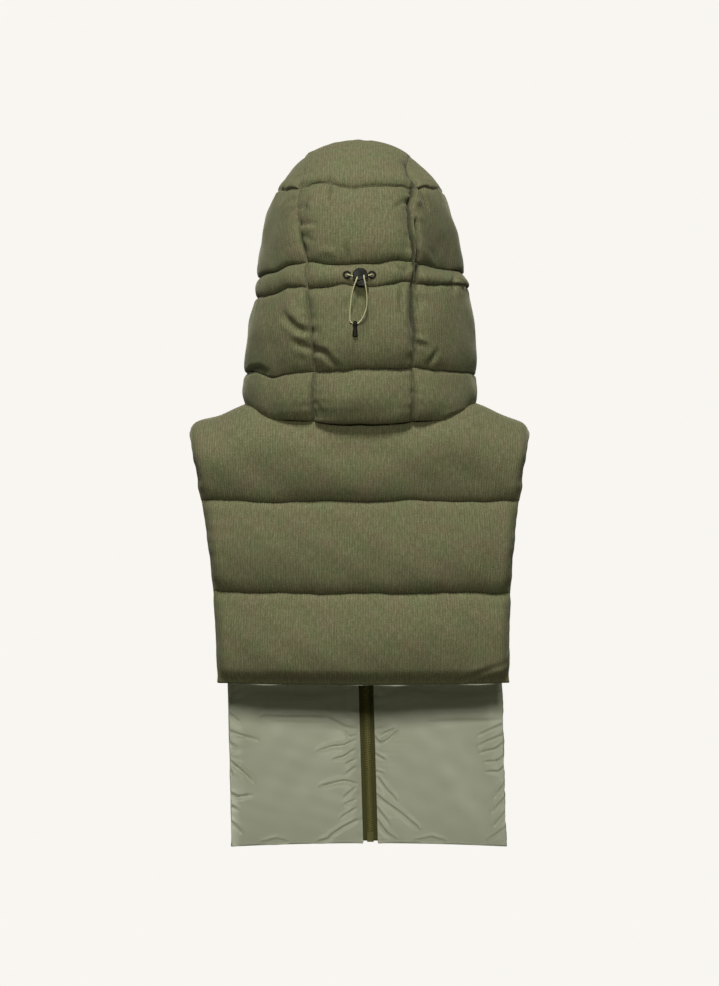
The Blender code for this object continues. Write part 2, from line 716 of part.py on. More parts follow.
def hood_gusset(collection):
    start = along_at_height(HOOD_LINES[0])
    grid, normals, full = [], [], []
    for r in BAFFLE_ROWS:
        row, out = [], []
        for s in ACROSS_GUSSET:
            x = s * GUSSET_WIDTHS[0][1]
            low, low_out = neck_seam(math.degrees(math.asin(abs(x) / NECK_HALF_WIDTH)))
            flip = (math.copysign(1, s), 1, 1)
            high, high_out = gusset_point(s, start)
            point, normal = roll_row(low * flip, low_out * flip, high, high_out, r)
            row.append(point)
            out.append(normal)
        grid.append(row)
        normals.append(out)
        full.append((swell(r), HOOD_PUFF))
    for along, fullness, puff in gusset_rows():
        made = [gusset_point(s, along) for s in ACROSS_GUSSET]
        grid.append([p for p, _ in made])
        normals.append([n for _, n in made])
        full.append((fullness, puff))
    grid = np.array(grid)
    across = [edge_swell((1 - abs(s)) * GUSSET_WIDTHS[0][1], 0.022) for s in ACROSS_GUSSET]
    out = np.array([[f * puff[0] * a for a in across] for f, puff in full]) + SEAM_THICK / 2
    into = np.array([[f * puff[1] * a for a in across] for f, puff in full]) + SEAM_THICK / 2
    out[-1] = into[-1] = HEM_THICK / 2
    return panel_solid("hood_gusset", grid, normals, out, into, CORD_CLOTH, collection)


def side_rows():
    """The rows of the right side panel above the collar roll, with how full each is."""
    lines, corner, _ = hood_stops()
    rows = []
    for k, divisions in enumerate((BAFFLE_ROWS, TUNNEL_ROWS, BAFFLE_ROWS)):
        puff = CHANNEL_PUFF if k == 1 else HOOD_PUFF
        for r in (divisions if k == 0 else divisions[1:]):
            start = gusset_point(1, lines[k] + (lines[k + 1] - lines[k]) * r)[0]
            z_front = HOOD_LINES[k] + (HOOD_LINES[k + 1] - HOOD_LINES[k]) * r
            line = side_line(start, (face_edge(z_front), z_front))
            end = np.array((ZIP_EDGE, *line[-1])) if k == 0 and r == 0 else None
            rows.append((*side_row(start, line, end, SIDE_SHARES), swell(r), puff))
    seam = np.array([gusset_point(1, a)[0][1:] for a in np.linspace(corner, FOREHEAD_ALONG, 40)])
    start = gusset_point(1, lines[3])[0]
    base = at_shares(side_line(start, (face_edge(HOOD_LINES[3]), HOOD_LINES[3])), np.linspace(0, 1, 40))
    for r in CAP_ROWS[1:]:
        start = gusset_point(1, lines[3] + (corner - lines[3]) * r)[0]
        line = base + (seam - base) * r
        line += np.outer(np.linspace(1, 0, 40) ** 2, start[1:] - line[0])
        if r < 1:
            rows.append((*side_row(start, line, None, SIDE_SHARES), swell(r), CROWN_PUFF))
    top = [gusset_point(1, corner + (FOREHEAD_ALONG - corner) * s) for s in SIDE_SHARES]
    rows.append(([p for p, _ in top], [n for _, n in top], 0.0, CROWN_PUFF))
    return rows


def side_line(start, end, steps=60):
    """A level line in the hood's outline, closer set where the hood is round."""
    shares = np.linspace(0, 1, steps) ** 1.5
    shares = np.minimum(shares, 1)
    return np.array([np.array(start[1:]) + (np.array(end) - start[1:]) * s for s in shares])


def hood_side(name, sign, collection):
    rows = side_rows()
    collar, collar_out = rows[0][0], rows[0][1]
    grid, normals, full = [], [], []
    for r in BAFFLE_ROWS[:-1]:
        made = []
        for j, angle in enumerate(SIDE_ANGLES):
            low, low_out = neck_seam(angle)
            made.append(roll_row(low, low_out, collar[j], collar_out[j], r))
        grid.append([p for p, _ in made])
        normals.append([n for _, n in made])
        full.append((swell(r), HOOD_PUFF))
    for points, outs, fullness, puff in rows:
        grid.append(list(points))
        normals.append(list(outs))
        full.append((fullness, puff))
    grid, normals = np.array(grid), np.array(normals)
    out, into = np.zeros(grid.shape[:2]), np.zeros(grid.shape[:2])
    for i, (fullness, puff) in enumerate(full):
        along = lengths_along(grid[i])
        for j in range(grid.shape[1]):
            edges = edge_swell(along[j], 0.022) * edge_swell(along[-1] - along[j], 0.022)
            out[i, j] = puff[0] * fullness * edges + SEAM_THICK / 2
            into[i, j] = puff[1] * fullness * edges + SEAM_THICK / 2
    face = slice(len(BAFFLE_ROWS), len(full) - 1)
    out[face, -1] = into[face, -1] = HEM_THICK / 2
    flip = (sign, 1, 1)
    return panel_solid(name, grid * flip, normals * flip, out, into, CORD_CLOTH, collection)


# ---------------------------------------------------------------- hard pieces
def hide_as_cutter(thing):
    thing.hide_render = True
    thing.display_type = "WIRE"
    return thing


def box_mesh(name, size, centre=(0, 0, 0)):
    bm = bmesh.new()
    bmesh.ops.create_cube(bm, size=1)
    bmesh.ops.scale(bm, vec=size, verts=bm.verts)
    bmesh.ops.translate(bm, vec=centre, verts=bm.verts)
    mesh = bpy.data.meshes.new(name)
    bm.to_mesh(mesh)
    bm.free()
    return mesh


def rod_mesh(name, radius, length, axis, centre=(0, 0, 0), sides=16):
    """A cylinder along X, Y or Z."""
    bm = bmesh.new()
    bmesh.ops.create_cone(
        bm, cap_ends=True, segments=sides, radius1=radius, radius2=radius, depth=length
    )
    turn = {"X": Matrix.Rotation(math.pi / 2, 3, "Y"), "Y": Matrix.Rotation(math.pi / 2, 3, "X")}
    if axis in turn:
        bmesh.ops.rotate(bm, matrix=turn[axis], verts=bm.verts)
    bmesh.ops.translate(bm, vec=centre, verts=bm.verts)
    mesh = bpy.data.meshes.new(name)
    bm.to_mesh(mesh)
    bm.free()
    return mesh


def prism_mesh(name, outline, thick):
    """An outline in X and Z, made a plate of this thickness along Y."""
    bm = bmesh.new()
    face = bm.faces.new([bm.verts.new((x, -thick / 2, z)) for x, z in outline])
    moved = bmesh.ops.extrude_face_region(bm, geom=[face])["geom"]
    verts = [v for v in moved if isinstance(v, bmesh.types.BMVert)]
    bmesh.ops.translate(bm, vec=(0, thick, 0), verts=verts)
    bmesh.ops.recalc_face_normals(bm, faces=bm.faces)
    mesh = bpy.data.meshes.new(name)
    bm.to_mesh(mesh)
    bm.free()
    return mesh


def bevel(thing, width, segments=2):
    made = thing.modifiers.new("Bevel", "BEVEL")
    made.width = width
    made.segments = segments
    made.limit_method = "ANGLE"
    made.angle_limit = math.radians(40)
    return made


def combine(thing, mesh, operation, cutters):
    """Adds or takes away a mesh that has the same place and turn as the object."""
    other = bpy.data.objects.new(mesh.name, mesh)
    cutters.objects.link(other)
    hide_as_cutter(other)
    other.matrix_world = thing.matrix_world
    made = thing.modifiers.new(mesh.name, "BOOLEAN")
    made.operation = operation
    made.object = other
    made.solver = "EXACT"
    return other


def zip_line():
    """The middle of the closed zip seen from the side, from the hem to the throat."""
    path = body_path(ZIP_EDGE, True)
    stop = neck_share(path, ZIP_ANGLE)
    body = at_shares(path, np.linspace(1, stop, 24))[:, 1:]
    low, low_out = neck_seam(ZIP_ANGLE)
    throat = np.array((ZIP_EDGE, face_edge(HOOD_LINES[0]), HOOD_LINES[0]))
    shares = np.linspace(0, 1, 9)[1:]
    collar = [roll_row(low, low_out, throat, low_out, r)[0][1:] for r in shares]
    return np.vstack([body, collar])


def zip_frame(line, along):
    """At a distance along the zip: the place, the direction up it, and the direction out of it."""
    far = lengths_along(line)
    here, above, below = (
        np.array([np.interp(d, far, line[:, k]) for k in (0, 1)])
        for d in (along, along + 0.002, along - 0.002)
    )
    up = unit(above - below)
    return here, up, np.array((up[1], -up[0]))


def zip_tape(name, sign, collection):
    """One side of the zip: a woven tape with its row of teeth, swept from the hem to the throat."""
    line = zip_line()
    length = float(lengths_along(line)[-1])
    teeth = (TAPE_FOOT + BOX_TOP, length - SLIDER_DROP)
    stops = [(TAPE_FOOT, False), (teeth[0] - 0.0001, False)]
    stops += [(a, True) for a in np.linspace(teeth[0], teeth[1], 30)]
    stops += [(teeth[1] + 0.0001, False), (length - 0.0004, False)]
    edge, half = ZIP_EDGE - SEAM_GAP, TAPE_THICK / 2
    sections = []
    for along, toothed in stops:
        near, step = RAIL if toothed else BARE_TAPE
        rise = RAIL_RISE if toothed else half + 0.00005
        outline = [(near, -rise), (step, -rise), (step, -half), (edge, -half)]
        outline += [(edge, half), (step, half), (step, rise), (near, rise)]
        here, _, out = zip_frame(line, along)
        sections.append([(sign * x, *(here + out * n)) for x, n in outline])
    sections = lean(np.array(sections), True)
    bm = bmesh.new()
    rings = [[bm.verts.new(p) for p in section] for section in sections]
    for low, high in zip(rings, rings[1:]):
        for k in range(8):
            bm.faces.new((low[k], low[k - 1], high[k - 1], high[k]))
    bm.faces.new(rings[0])
    bm.faces.new(rings[-1][::-1])
    bmesh.ops.recalc_face_normals(bm, faces=bm.faces)
    mesh = bpy.data.meshes.new(name)
    bm.to_mesh(mesh)
    bm.free()
    return add_object(name, mesh, TAPE_CLOTH, collection)


def place_on_zip(thing, along):
    """Puts an object on the zip: its X across, its Y out of the garment and its Z up the zip."""
    here, up, out = zip_frame(zip_line(), along)
    centre = lean(np.array((0.0, *here)), True)
    turn = Matrix(((1, 0, 0), (0, *out), (0, *up))).transposed()
    thing.matrix_world = Matrix.Translation(centre) @ turn.to_4x4()


def zip_box(collection):
    mesh = box_mesh("zip_box", BOX_SIZE)
    thing = add_object("zip_box", mesh, BLACK_PLASTIC, collection)
    place_on_zip(thing, TAPE_FOOT + BOX_TOP - SEAM_GAP - BOX_SIZE[2] / 2)
    bevel(thing, 0.0006)
    return thing


def slider_along():
    return float(lengths_along(zip_line())[-1]) - SLIDER_DROP


def zip_slider(collection, cutters):
    """Two plates over the closed teeth, joined by a wedge above them, with two lugs and a pin."""
    off = RAIL_RISE + SEAM_GAP + SLIDER_PLATE[1] / 2
    low = (SLIDER_WEDGE[1] + SEAM_GAP) - SLIDER_PLATE[2] / 2
    plate = box_mesh("zip_slider", SLIDER_PLATE, (0, off, low))
    thing = add_object("zip_slider", plate, DARK_METAL, collection)
    place_on_zip(thing, slider_along())
    combine(thing, box_mesh("slider_back", SLIDER_PLATE, (0, -off, low)), "UNION", cutters)
    wedge = (SLIDER_WEDGE[0], 2 * off, SLIDER_WEDGE[1])
    middle = SEAM_GAP + SLIDER_WEDGE[1] / 2
    combine(thing, box_mesh("slider_wedge", wedge, (0, 0, middle)), "UNION", cutters)
    lug_y = PIN_OFF + 0.0009 - SLIDER_LUG[1] / 2
    for side, x in (("left", -LUG_X), ("right", LUG_X)):
        lug = box_mesh("slider_lug_" + side, SLIDER_LUG, (x, lug_y, 0))
        combine(thing, lug, "UNION", cutters)
    pin = rod_mesh("slider_pin", PIN_R, 2 * LUG_X, "X", (0, PIN_OFF, 0), 12)
    combine(thing, pin, "UNION", cutters)
    bevel(thing, 0.00035, 1)
    return thing


def zip_pull(slider, collection, cutters):
    """The pull hangs straight down from the slider's pin."""
    outline = [(-half, -down) for down, half in PULL_OUTLINE]
    outline += [(half, -down) for down, half in reversed(PULL_OUTLINE)]
    mesh = prism_mesh("zip_pull", outline, PULL_THICK)
    thing = add_object("zip_pull", mesh, DARK_METAL, collection)
    pin = slider.matrix_world @ Vector((0, PIN_OFF, 0))
    thing.matrix_world = Matrix.Translation(pin)
    head = rod_mesh("pull_head", PULL_HEAD_R, PULL_HEAD_WIDTH, "X", sides=20)
    combine(thing, head, "UNION", cutters)
    eye = rod_mesh("pull_eye", PULL_EYE_R, 2 * PULL_HEAD_WIDTH, "X", sides=16)
    combine(thing, eye, "DIFFERENCE", cutters)
    return thing


def tunnel_frame():
    """The flat middle of the drawcord tunnel: a place in Y and Z, and the direction out of it."""
    lines, _, _ = hood_stops()
    rows = [lines[1] + (lines[2] - lines[1]) * r for r in TUNNEL_ROWS[1:3]]
    off = CHANNEL_PUFF[0] * swell(TUNNEL_ROWS[1]) + SEAM_THICK / 2
    made = [gusset_point(ACROSS_GUSSET[3], a) for a in rows]
    low, high = (point + normal * off for point, normal in made)
    up = unit(high[1:] - low[1:])
    point = low[1:] + up * (EYELET_Z - low[2]) / up[1]
    return point, np.array((0, -up[1], up[0]))


def eyelet(name, x, collection):
    point, out = tunnel_frame()
    major, minor = EYELET_RING
    bpy.ops.mesh.primitive_torus_add(
        major_radius=major, minor_radius=minor, major_segments=24, minor_segments=10
    )
    thing = bpy.context.object
    thing.name = thing.data.name = name
    for owner in list(thing.users_collection):
        owner.objects.unlink(thing)
    collection.objects.link(thing)
    thing.data.materials.append(material(BLACK_PLASTIC))
    thing.data.transform(Matrix.Diagonal((1, 1, EYELET_FLAT, 1)))
    thing.data.shade_smooth()
    turn = Vector((0, 0, 1)).rotation_difference(Vector(out)).to_matrix().to_4x4()
    seat = point + out[1:] * (SEAM_GAP + minor * EYELET_FLAT)
    thing.matrix_world = Matrix.Translation((x, *seat)) @ turn
    return thing


def drawcord(collection):
    """One elastic cord from eyelet to eyelet, through the lock and down to its end piece."""
    line = smooth_line(CORD_ROUTE)
    points = at_shares(line, np.linspace(0, 1, CORD_POINTS))
    curve = bpy.data.curves.new("drawcord", "CURVE")
    curve.dimensions = "3D"
    curve.bevel_depth = CORD_R
    curve.bevel_resolution = 2
    curve.use_fill_caps = True
    spline = curve.splines.new("POLY")
    spline.points.add(len(points) - 1)
    for point, place in zip(spline.points, points):
        point.co = (*place, 1)
    return add_object("drawcord", curve, ELASTIC, collection)


def lock_matrix():
    return Matrix.Translation(LOCK_CENTRE) @ Matrix.Rotation(math.radians(-LOCK_TILT), 4, "Y")


def cord_lock(collection, cutters):
    """A rounded housing, open below for its plunger, with two holes for the cord."""
    dome = [math.pi * k / 10 for k in range(11)]
    rise = LOCK_TOP - LOCK_SHOULDER
    outline = [(LOCK_HALF * math.cos(a), LOCK_SHOULDER + rise * math.sin(a)) for a in dome]
    outline += [(-LOCK_HALF, LOCK_SIDE), (-LOCK_HALF + 0.001, LOCK_FOOT)]
    outline += [(LOCK_HALF - 0.001, LOCK_FOOT), (LOCK_HALF, LOCK_SIDE)]
    mesh = prism_mesh("cord_lock_body", outline, LOCK_THICK)
    thing = add_object("cord_lock_body", mesh, BLACK_PLASTIC, collection)
    thing.matrix_world = lock_matrix()
    bevel(thing, 0.0010)
    half, deep, high = CAVITY
    depth = high - LOCK_FOOT + 0.002
    cavity = box_mesh("lock_cavity", (2 * half, 2 * deep, depth), (0, 0, high - depth / 2))
    combine(thing, cavity, "DIFFERENCE", cutters)
    for side, x in (("left", -LOCK_HOLE_X), ("right", LOCK_HOLE_X)):
        hole = rod_mesh("lock_hole_" + side, LOCK_HOLE_R, 2 * LOCK_THICK, "Y", (x, 0, 0), 14)
        combine(thing, hole, "DIFFERENCE", cutters)
    return thing


def lock_plunger(collection, cutters):
    """The sprung plunger. Its slots let the cord stay still while it is pressed in."""
    half, deep, high = PLUNGER
    round_at = PLUNGER_FOOT + 0.0035
    foot = [math.pi * (1 + k / 8) for k in range(9)]
    outline = [(half * math.cos(a), round_at + 0.0035 * math.sin(a)) for a in foot]
    outline += [(half, high), (-half, high)]
    mesh = prism_mesh("cord_lock_plunger", outline, 2 * deep)
    thing = add_object("cord_lock_plunger", mesh, BLACK_PLASTIC, collection)
    thing.matrix_world = lock_matrix()
    for side, x in (("left", -LOCK_HOLE_X), ("right", LOCK_HOLE_X)):
        slot = slot_mesh("plunger_slot_" + side, x)
        combine(thing, slot, "DIFFERENCE", cutters)
    return thing


def slot_mesh(name, x):
    """A slot with round ends, as long as the plunger's travel."""
    turns = [math.pi * k / 6 for k in range(7)]
    r = LOCK_HOLE_R
    outline = [(x + r * math.cos(a), r * math.sin(a)) for a in turns]
    outline += [(x - r * math.cos(a), -PLUNGER_TRAVEL - r * math.sin(a)) for a in turns]
    return prism_mesh(name, outline, 2 * LOCK_THICK)


def cord_end(collection, cutters):
    """A turned bell on the loop, with a crosswise hole for the cord."""
    bm = bmesh.new()
    verts = [bm.verts.new((r, 0, z - CORD_END_HOLE_Z)) for z, r in reversed(CORD_END_PROFILE)]
    for a, b in zip(verts, verts[1:]):
        bm.edges.new((a, b))
    mesh = bpy.data.meshes.new("cord_end")
    bm.to_mesh(mesh)
    bm.free()
    thing = add_object("cord_end", mesh, BLACK_PLASTIC, collection)
    thing.matrix_world = Matrix.Translation((*CORD_END_AT, CORD_END_HOLE_Z))
    screw = thing.modifiers.new("Screw", "SCREW")
    screw.steps = screw.render_steps = 18
    screw.use_merge_vertices = True
    screw.merge_threshold = 0.00001
    hole = rod_mesh("cord_end_hole", LOCK_HOLE_R, 0.01, "X", sides=14)
    combine(thing, hole, "DIFFERENCE", cutters)
    return thing


# ---------------------------------------------------------------- the object
def clear_scene():
    for thing in list(bpy.data.objects):
        bpy.data.objects.remove(thing, do_unlink=True)


def new_collection(name):
    made = bpy.data.collections.new(name)
    bpy.context.scene.collection.children.link(made)
    return made


def main():
    clear_scene()
    garment = new_collection("padded_hooded_bib")
    cutters = new_collection("cutters")
    back_panel(garment)
    for side, sign in (("left", -1), ("right", 1)):
        front_panel("front_" + side, sign, garment)
        front_lining("front_lining_" + side, sign, garment)
        hood_side("hood_side_" + side, sign, garment)
    hood_gusset(garment)
    back_lining(garment)
    for side, sign in (("left", -1), ("right", 1)):
        zip_tape("zip_tape_" + side, sign, garment)
        eyelet("eyelet_" + side, sign * EYELET_X, garment)
    zip_box(garment)
    slider = zip_slider(garment, cutters)
    zip_pull(slider, garment, cutters)
    drawcord(garment)
    cord_lock(garment, cutters)
    lock_plunger(garment, cutters)
    cord_end(garment, cutters)


main()
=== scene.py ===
"""Padded hooded bib, dressed: needlecord shell, nylon lining, moulded zip, drawcord and stitching.

Metres, +Z up. The wearer faces +Y, so the back of the garment faces -Y.
Run as a script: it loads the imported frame, makes each piece with an operator and sets the stage.
"""

import math

import bpy
import numpy as np
from mathutils import Matrix, Vector


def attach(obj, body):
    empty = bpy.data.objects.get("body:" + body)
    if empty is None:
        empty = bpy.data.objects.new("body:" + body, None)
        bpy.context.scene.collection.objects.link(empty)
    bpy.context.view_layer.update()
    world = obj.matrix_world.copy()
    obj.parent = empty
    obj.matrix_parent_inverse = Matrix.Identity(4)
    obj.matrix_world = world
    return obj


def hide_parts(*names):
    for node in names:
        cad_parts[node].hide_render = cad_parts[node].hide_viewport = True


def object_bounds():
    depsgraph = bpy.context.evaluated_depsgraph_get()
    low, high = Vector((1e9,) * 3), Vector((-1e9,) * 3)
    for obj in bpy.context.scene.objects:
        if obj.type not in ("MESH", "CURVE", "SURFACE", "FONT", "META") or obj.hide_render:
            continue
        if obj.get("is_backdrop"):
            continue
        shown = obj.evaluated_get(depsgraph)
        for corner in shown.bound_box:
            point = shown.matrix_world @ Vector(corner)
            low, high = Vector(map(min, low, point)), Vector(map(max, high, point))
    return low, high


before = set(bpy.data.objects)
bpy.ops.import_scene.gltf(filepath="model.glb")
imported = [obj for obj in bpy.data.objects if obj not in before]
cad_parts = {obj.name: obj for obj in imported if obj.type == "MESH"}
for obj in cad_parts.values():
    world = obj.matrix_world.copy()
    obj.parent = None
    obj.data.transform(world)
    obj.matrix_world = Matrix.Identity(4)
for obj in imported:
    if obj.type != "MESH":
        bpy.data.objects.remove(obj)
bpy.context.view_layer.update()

bl_info = {
    "name": "Padded hooded bib",
    "version": (1, 0, 0),
    "blender": (4, 5, 0),
    "location": "View3D > Sidebar > Bib",
    "description": "Builds a quilted needlecord hood and bib around its packed frame",
    "category": "Object",
}

# ---------------------------------------------------------------- the cut, in metres
SEAM_THICK = 0.004  # a padded panel where it is stitched flat
HEM_THICK = 0.007  # a padded panel at a turned, bound edge
BODY_PUFF = (0.0095, 0.0035)  # how far the filling swells a body baffle outwards and inwards
HOOD_PUFF = (0.0080, 0.0040)
CROWN_PUFF = (0.0060, 0.0030)
CHANNEL_PUFF = (0.0045, 0.0015)

HOOD_LINES = (0.0378, 0.1370, 0.1627, 0.2518)  # collar, tunnel bottom, tunnel top, crown
BACK_LINES = (-0.1124, -0.2201)
FRONT_LINES = (-0.1124, -0.2201, -0.3280, -0.4360)
BACK_HEM = -0.3209
FRONT_HEM = -0.5375

NECK_HALF_WIDTH = 0.121  # of the neck seam, across
NECK_BACK = 0.104  # from the middle to the seam behind
NECK_FRONT = 0.108
SHOULDER_HALF = 0.2022  # from the middle to the armhole at the shoulder
BACK_DEPTH = 0.1150  # from the middle to the back panel
FRONT_DEPTH = 0.1260
SIDE_WRAP = 0.042  # how far the panels come round the body at the armholes
BACK_ARCH = 0.064  # how far below the shoulder ridge a panel hangs straight
FRONT_ARCH = 0.150
BACK_LEAN = 0.018  # how far the cloth hangs to the right, for each metre down
FRONT_LEAN = 0.025
LEAN_START = -0.065
ZIP_LEAN = 0.18  # how much more the zip leans than the front beside it
NECK_MITRE = 0.014  # how far from the neck seam a panel turns to meet the hood's
NECK_CLEAR = 0.009
YOKE_LENGTH = 0.135  # about the length of cloth above the top stitched line
ZIP_EDGE = 0.0096  # from the middle to a front's edge
LINING_EDGE = 0.0092
LINING_THICK = 0.0010
LINING_GAP = (0.0004, 0.0019)  # between lining and panel, where sewn and where loose

# columns: height, half width of the body at the armhole edge
BACK_WIDTHS = (
    (-0.3209, 0.1700),
    (-0.2500, 0.1722),
    (-0.1800, 0.1768),
    (-0.1100, 0.1862),
    (-0.0600, 0.1952),
    (-0.0240, 0.2022),
    (0.0200, 0.2022),
)
FRONT_WIDTHS = (
    (-0.5375, 0.1703),
    (-0.3200, 0.1700),
    (-0.2000, 0.1732),
    (-0.1100, 0.1850),
    (-0.0600, 0.1950),
    (-0.0200, 0.2030),
    (0.0200, 0.2030),
)
# columns: distance from the middle, height of the shoulder ridge
RIDGE = (
    (0.000, 0.0160),
    (0.121, 0.0035),
    (0.138, -0.0015),
    (0.155, -0.0070),
    (0.174, -0.0135),
    (0.190, -0.0200),
    (0.2022, -0.0280),
)
# The hood's outline from the side, from the nape over the crown to the throat. columns: y, z
HOOD_PROFILE = (
    (-0.104, -0.037),
    (-0.127, 0.004),
    (-0.134, 0.038),
    (-0.139, 0.085),
    (-0.135, 0.137),
    (-0.131, 0.163),
    (-0.124, 0.205),
    (-0.105, 0.252),
    (-0.072, 0.294),
    (-0.014, 0.319),
    (0.046, 0.317),
    (0.104, 0.294),
    (0.131, 0.242),
    (0.137, 0.180),
    (0.136, 0.110),
    (0.130, 0.0378),
    (0.121, -0.010),
    (0.108, -0.062),
)
HOOD_FOREHEAD = 11  # the outline's row at the edge of the face opening
HOOD_CORNER_Z = 0.283  # height at which the sides' top seam starts
HOOD_ROUND = 0.100  # how far in from its outline the hood is still round
# columns: height, half width of the hood
HOOD_WIDTHS = (
    (-0.040, 0.1330),
    (0.0378, 0.1325),
    (0.077, 0.1275),
    (0.106, 0.1255),
    (0.137, 0.1215),
    (0.163, 0.1185),
    (0.192, 0.1118),
    (0.221, 0.1065),
    (0.250, 0.1030),
    (0.276, 0.1005),
    (0.300, 0.1030),
    (0.322, 0.1120),
)
# columns: height along the back, half width of the gusset
GUSSET_WIDTHS = ((-0.040, 0.0560), (0.060, 0.0570), (0.150, 0.0600), (0.250, 0.0620), (0.320, 0.0620))
# The edge of the face opening, from the chin to the forehead. columns: z, y
FACE_EDGE = (
    (0.0378, 0.1300),
    (0.0440, 0.1180),
    (0.0600, 0.1070),
    (0.0900, 0.1000),
    (0.1370, 0.0970),
    (0.2000, 0.0990),
    (0.2518, 0.1010),
)
CROWN_LINE = 0.42  # share of the top seam at which the gusset has its last stitched line

# The zip: how far its parts are from the middle, and up it.
SEAM_GAP = 0.0003
TAPE_FOOT = 0.0033  # the tapes end this far above the hem
BOX_TOP = 0.0118  # above the tapes' feet
SLIDER_DROP = 0.0065  # the rows of teeth end this far below the tapes' tops
TOOTH_PITCH = 0.0029
TEETH_REACH = 0.0036  # how far the teeth grip each tape from the middle

# The drawcord, from eyelet to eyelet: through the lock, down to its end piece and back.
CORD_R = 0.0009
CORD_DRAWN = 0.9  # the tube is drawn at this share of the cord's radius
# columns: x, y, z
CORD_ROUTE = (
    (-0.0143, -0.1388, 0.1500),
    (-0.0143, -0.1398, 0.1500),
    (-0.0133, -0.1423, 0.1498),
    (-0.0107, -0.1433, 0.1492),
    (-0.0064, -0.1433, 0.1477),
    (-0.0038, -0.1444, 0.1467),
    (-0.0026, -0.1470, 0.1462),
    (-0.0026, -0.1506, 0.1462),
    (-0.0026, -0.1545, 0.1462),
    (-0.0028, -0.1571, 0.1451),
    (-0.0036, -0.1581, 0.1425),
    (-0.0058, -0.1577, 0.1370),
    (-0.0080, -0.1562, 0.1290),
    (-0.0096, -0.1545, 0.1195),
    (-0.0106, -0.1525, 0.1090),
    (-0.0109, -0.1512, 0.1012),
    (-0.0107, -0.1506, 0.0972),
    (-0.0096, -0.1505, 0.0948),
    (-0.0074, -0.1505, 0.0937),
    (-0.0050, -0.1505, 0.0936),
    (-0.0026, -0.1505, 0.0937),
    (-0.0006, -0.1505, 0.0946),
    (0.0013, -0.1506, 0.0965),
    (0.0037, -0.1510, 0.1002),
    (0.0060, -0.1518, 0.1050),
    (0.0078, -0.1529, 0.1107),
    (0.0084, -0.1543, 0.1180),
    (0.0080, -0.1562, 0.1285),
    (0.0066, -0.1577, 0.1380),
    (0.0054, -0.1582, 0.1437),
    (0.0051, -0.1572, 0.1470),
    (0.0051, -0.1545, 0.1480),
    (0.0051, -0.1506, 0.1480),
    (0.0051, -0.1470, 0.1480),
    (0.0061, -0.1444, 0.1482),
    (0.0085, -0.1433, 0.1486),
    (0.0108, -0.1433, 0.1492),
    (0.0133, -0.1423, 0.1498),
    (0.0143, -0.1398, 0.1500),
    (0.0143, -0.1388, 0.1500),
)


# ---------------------------------------------------------------- small tools
def linear(hex_colour):
    """An sRGB hex colour as linear red, green and blue."""
    values = [int(hex_colour[i : i + 2], 16) / 255 for i in (1, 3, 5)]
    return tuple(v / 12.92 if v <= 0.04045 else ((v + 0.055) / 1.055) ** 2.4 for v in values)


def eased(table, at):
    """Smooth values between the rows of a two-column table, which never overshoot them."""
    xs, ys = np.array(table, float).T
    slopes = np.diff(ys) / np.diff(xs)
    both = slopes[:-1] * slopes[1:]
    inner = np.where(both > 0, 2 * both / np.where(both > 0, slopes[:-1] + slopes[1:], 1), 0)
    tangents = np.concatenate([[slopes[0]], inner, [slopes[-1]]])
    at = np.clip(at, xs[0], xs[-1])
    i = np.clip(np.searchsorted(xs, at) - 1, 0, len(xs) - 2)
    width = xs[i + 1] - xs[i]
    t = (at - xs[i]) / width
    ends = ys[i] * (2 * t**3 - 3 * t**2 + 1) + ys[i + 1] * (3 * t**2 - 2 * t**3)
    return ends + width * (tangents[i] * (t**3 - 2 * t**2 + t) + tangents[i + 1] * (t**3 - t**2))


def smooth_line(points, steps=12):
    """A Catmull-Rom curve through the points."""
    points = np.array(points, float)
    ends = np.vstack([2 * points[0] - points[1], points, 2 * points[-1] - points[-2]])
    t = np.linspace(0, 1, steps, endpoint=False)[:, None]
    line = []
    for a, b, c, d in zip(ends, ends[1:], ends[2:], ends[3:]):
        square = (2 * a - 5 * b + 4 * c - d) * t**2
        cube = (3 * b - a - 3 * c + d) * t**3
        line.append(0.5 * (2 * b + (c - a) * t + square + cube))
    return np.vstack([*line, points[-1:]])


def lengths_along(line):
    """The distance of each of a line's points along it."""
    return np.concatenate([[0.0], np.cumsum(np.linalg.norm(np.diff(line, axis=0), axis=1))])


def at_shares(line, shares):
    """Points of a line at these shares of its length."""
    along = lengths_along(line)
    stops = np.asarray(shares) * along[-1]
    return np.column_stack([np.interp(stops, along, column) for column in line.T])


def unit(vectors):
    """Vectors made one long."""
    vectors = np.asarray(vectors, float)
    return vectors / np.maximum(np.linalg.norm(vectors, axis=-1, keepdims=True), 1e-12)


def swell(share):
    """How full a baffle is between its stitched lines: a sagging arc with steep ends."""
    low = share**0.80
    arc = 4 * low * (1 - low)
    return 0.70 * arc + 0.30 * arc**0.42


def edge_swell(distance, reach=0.030):
    """How full a panel is near a seam or an edge that crosses the baffles."""
    return np.sin(0.5 * math.pi * np.minimum(1.0, distance / reach))


def ramp(values, start, length):
    """How far values are past a start, as a share of a length: 0 before it, 1 after it."""
    return np.clip((values - start) / length, 0, 1)


def bell(distance, width):
    """A smooth hump: 1 at no distance, and nearly nothing two widths away."""
    return np.exp(-((distance / width) ** 2))


def rounded(distance, radius):
    """A turned edge's thickness near its end, as a share of its full thickness."""
    inside = 1 - np.clip(distance / radius, 0, 1)
    return np.sqrt(np.maximum(0, 1 - inside**2))


def ripples(points, size, seed, waves=9):
    """Smooth unevenness over places, mostly between -1 and 1, with bumps about this size."""
    random = np.random.default_rng(seed)
    total = np.zeros(points.shape[:-1])
    for _ in range(waves):
        way = unit(random.normal(size=points.shape[-1]))
        length = size * random.uniform(0.7, 1.7)
        total += np.sin(points @ way * 2 * math.pi / length + random.uniform(0, 2 * math.pi))
    return total / math.sqrt(waves)


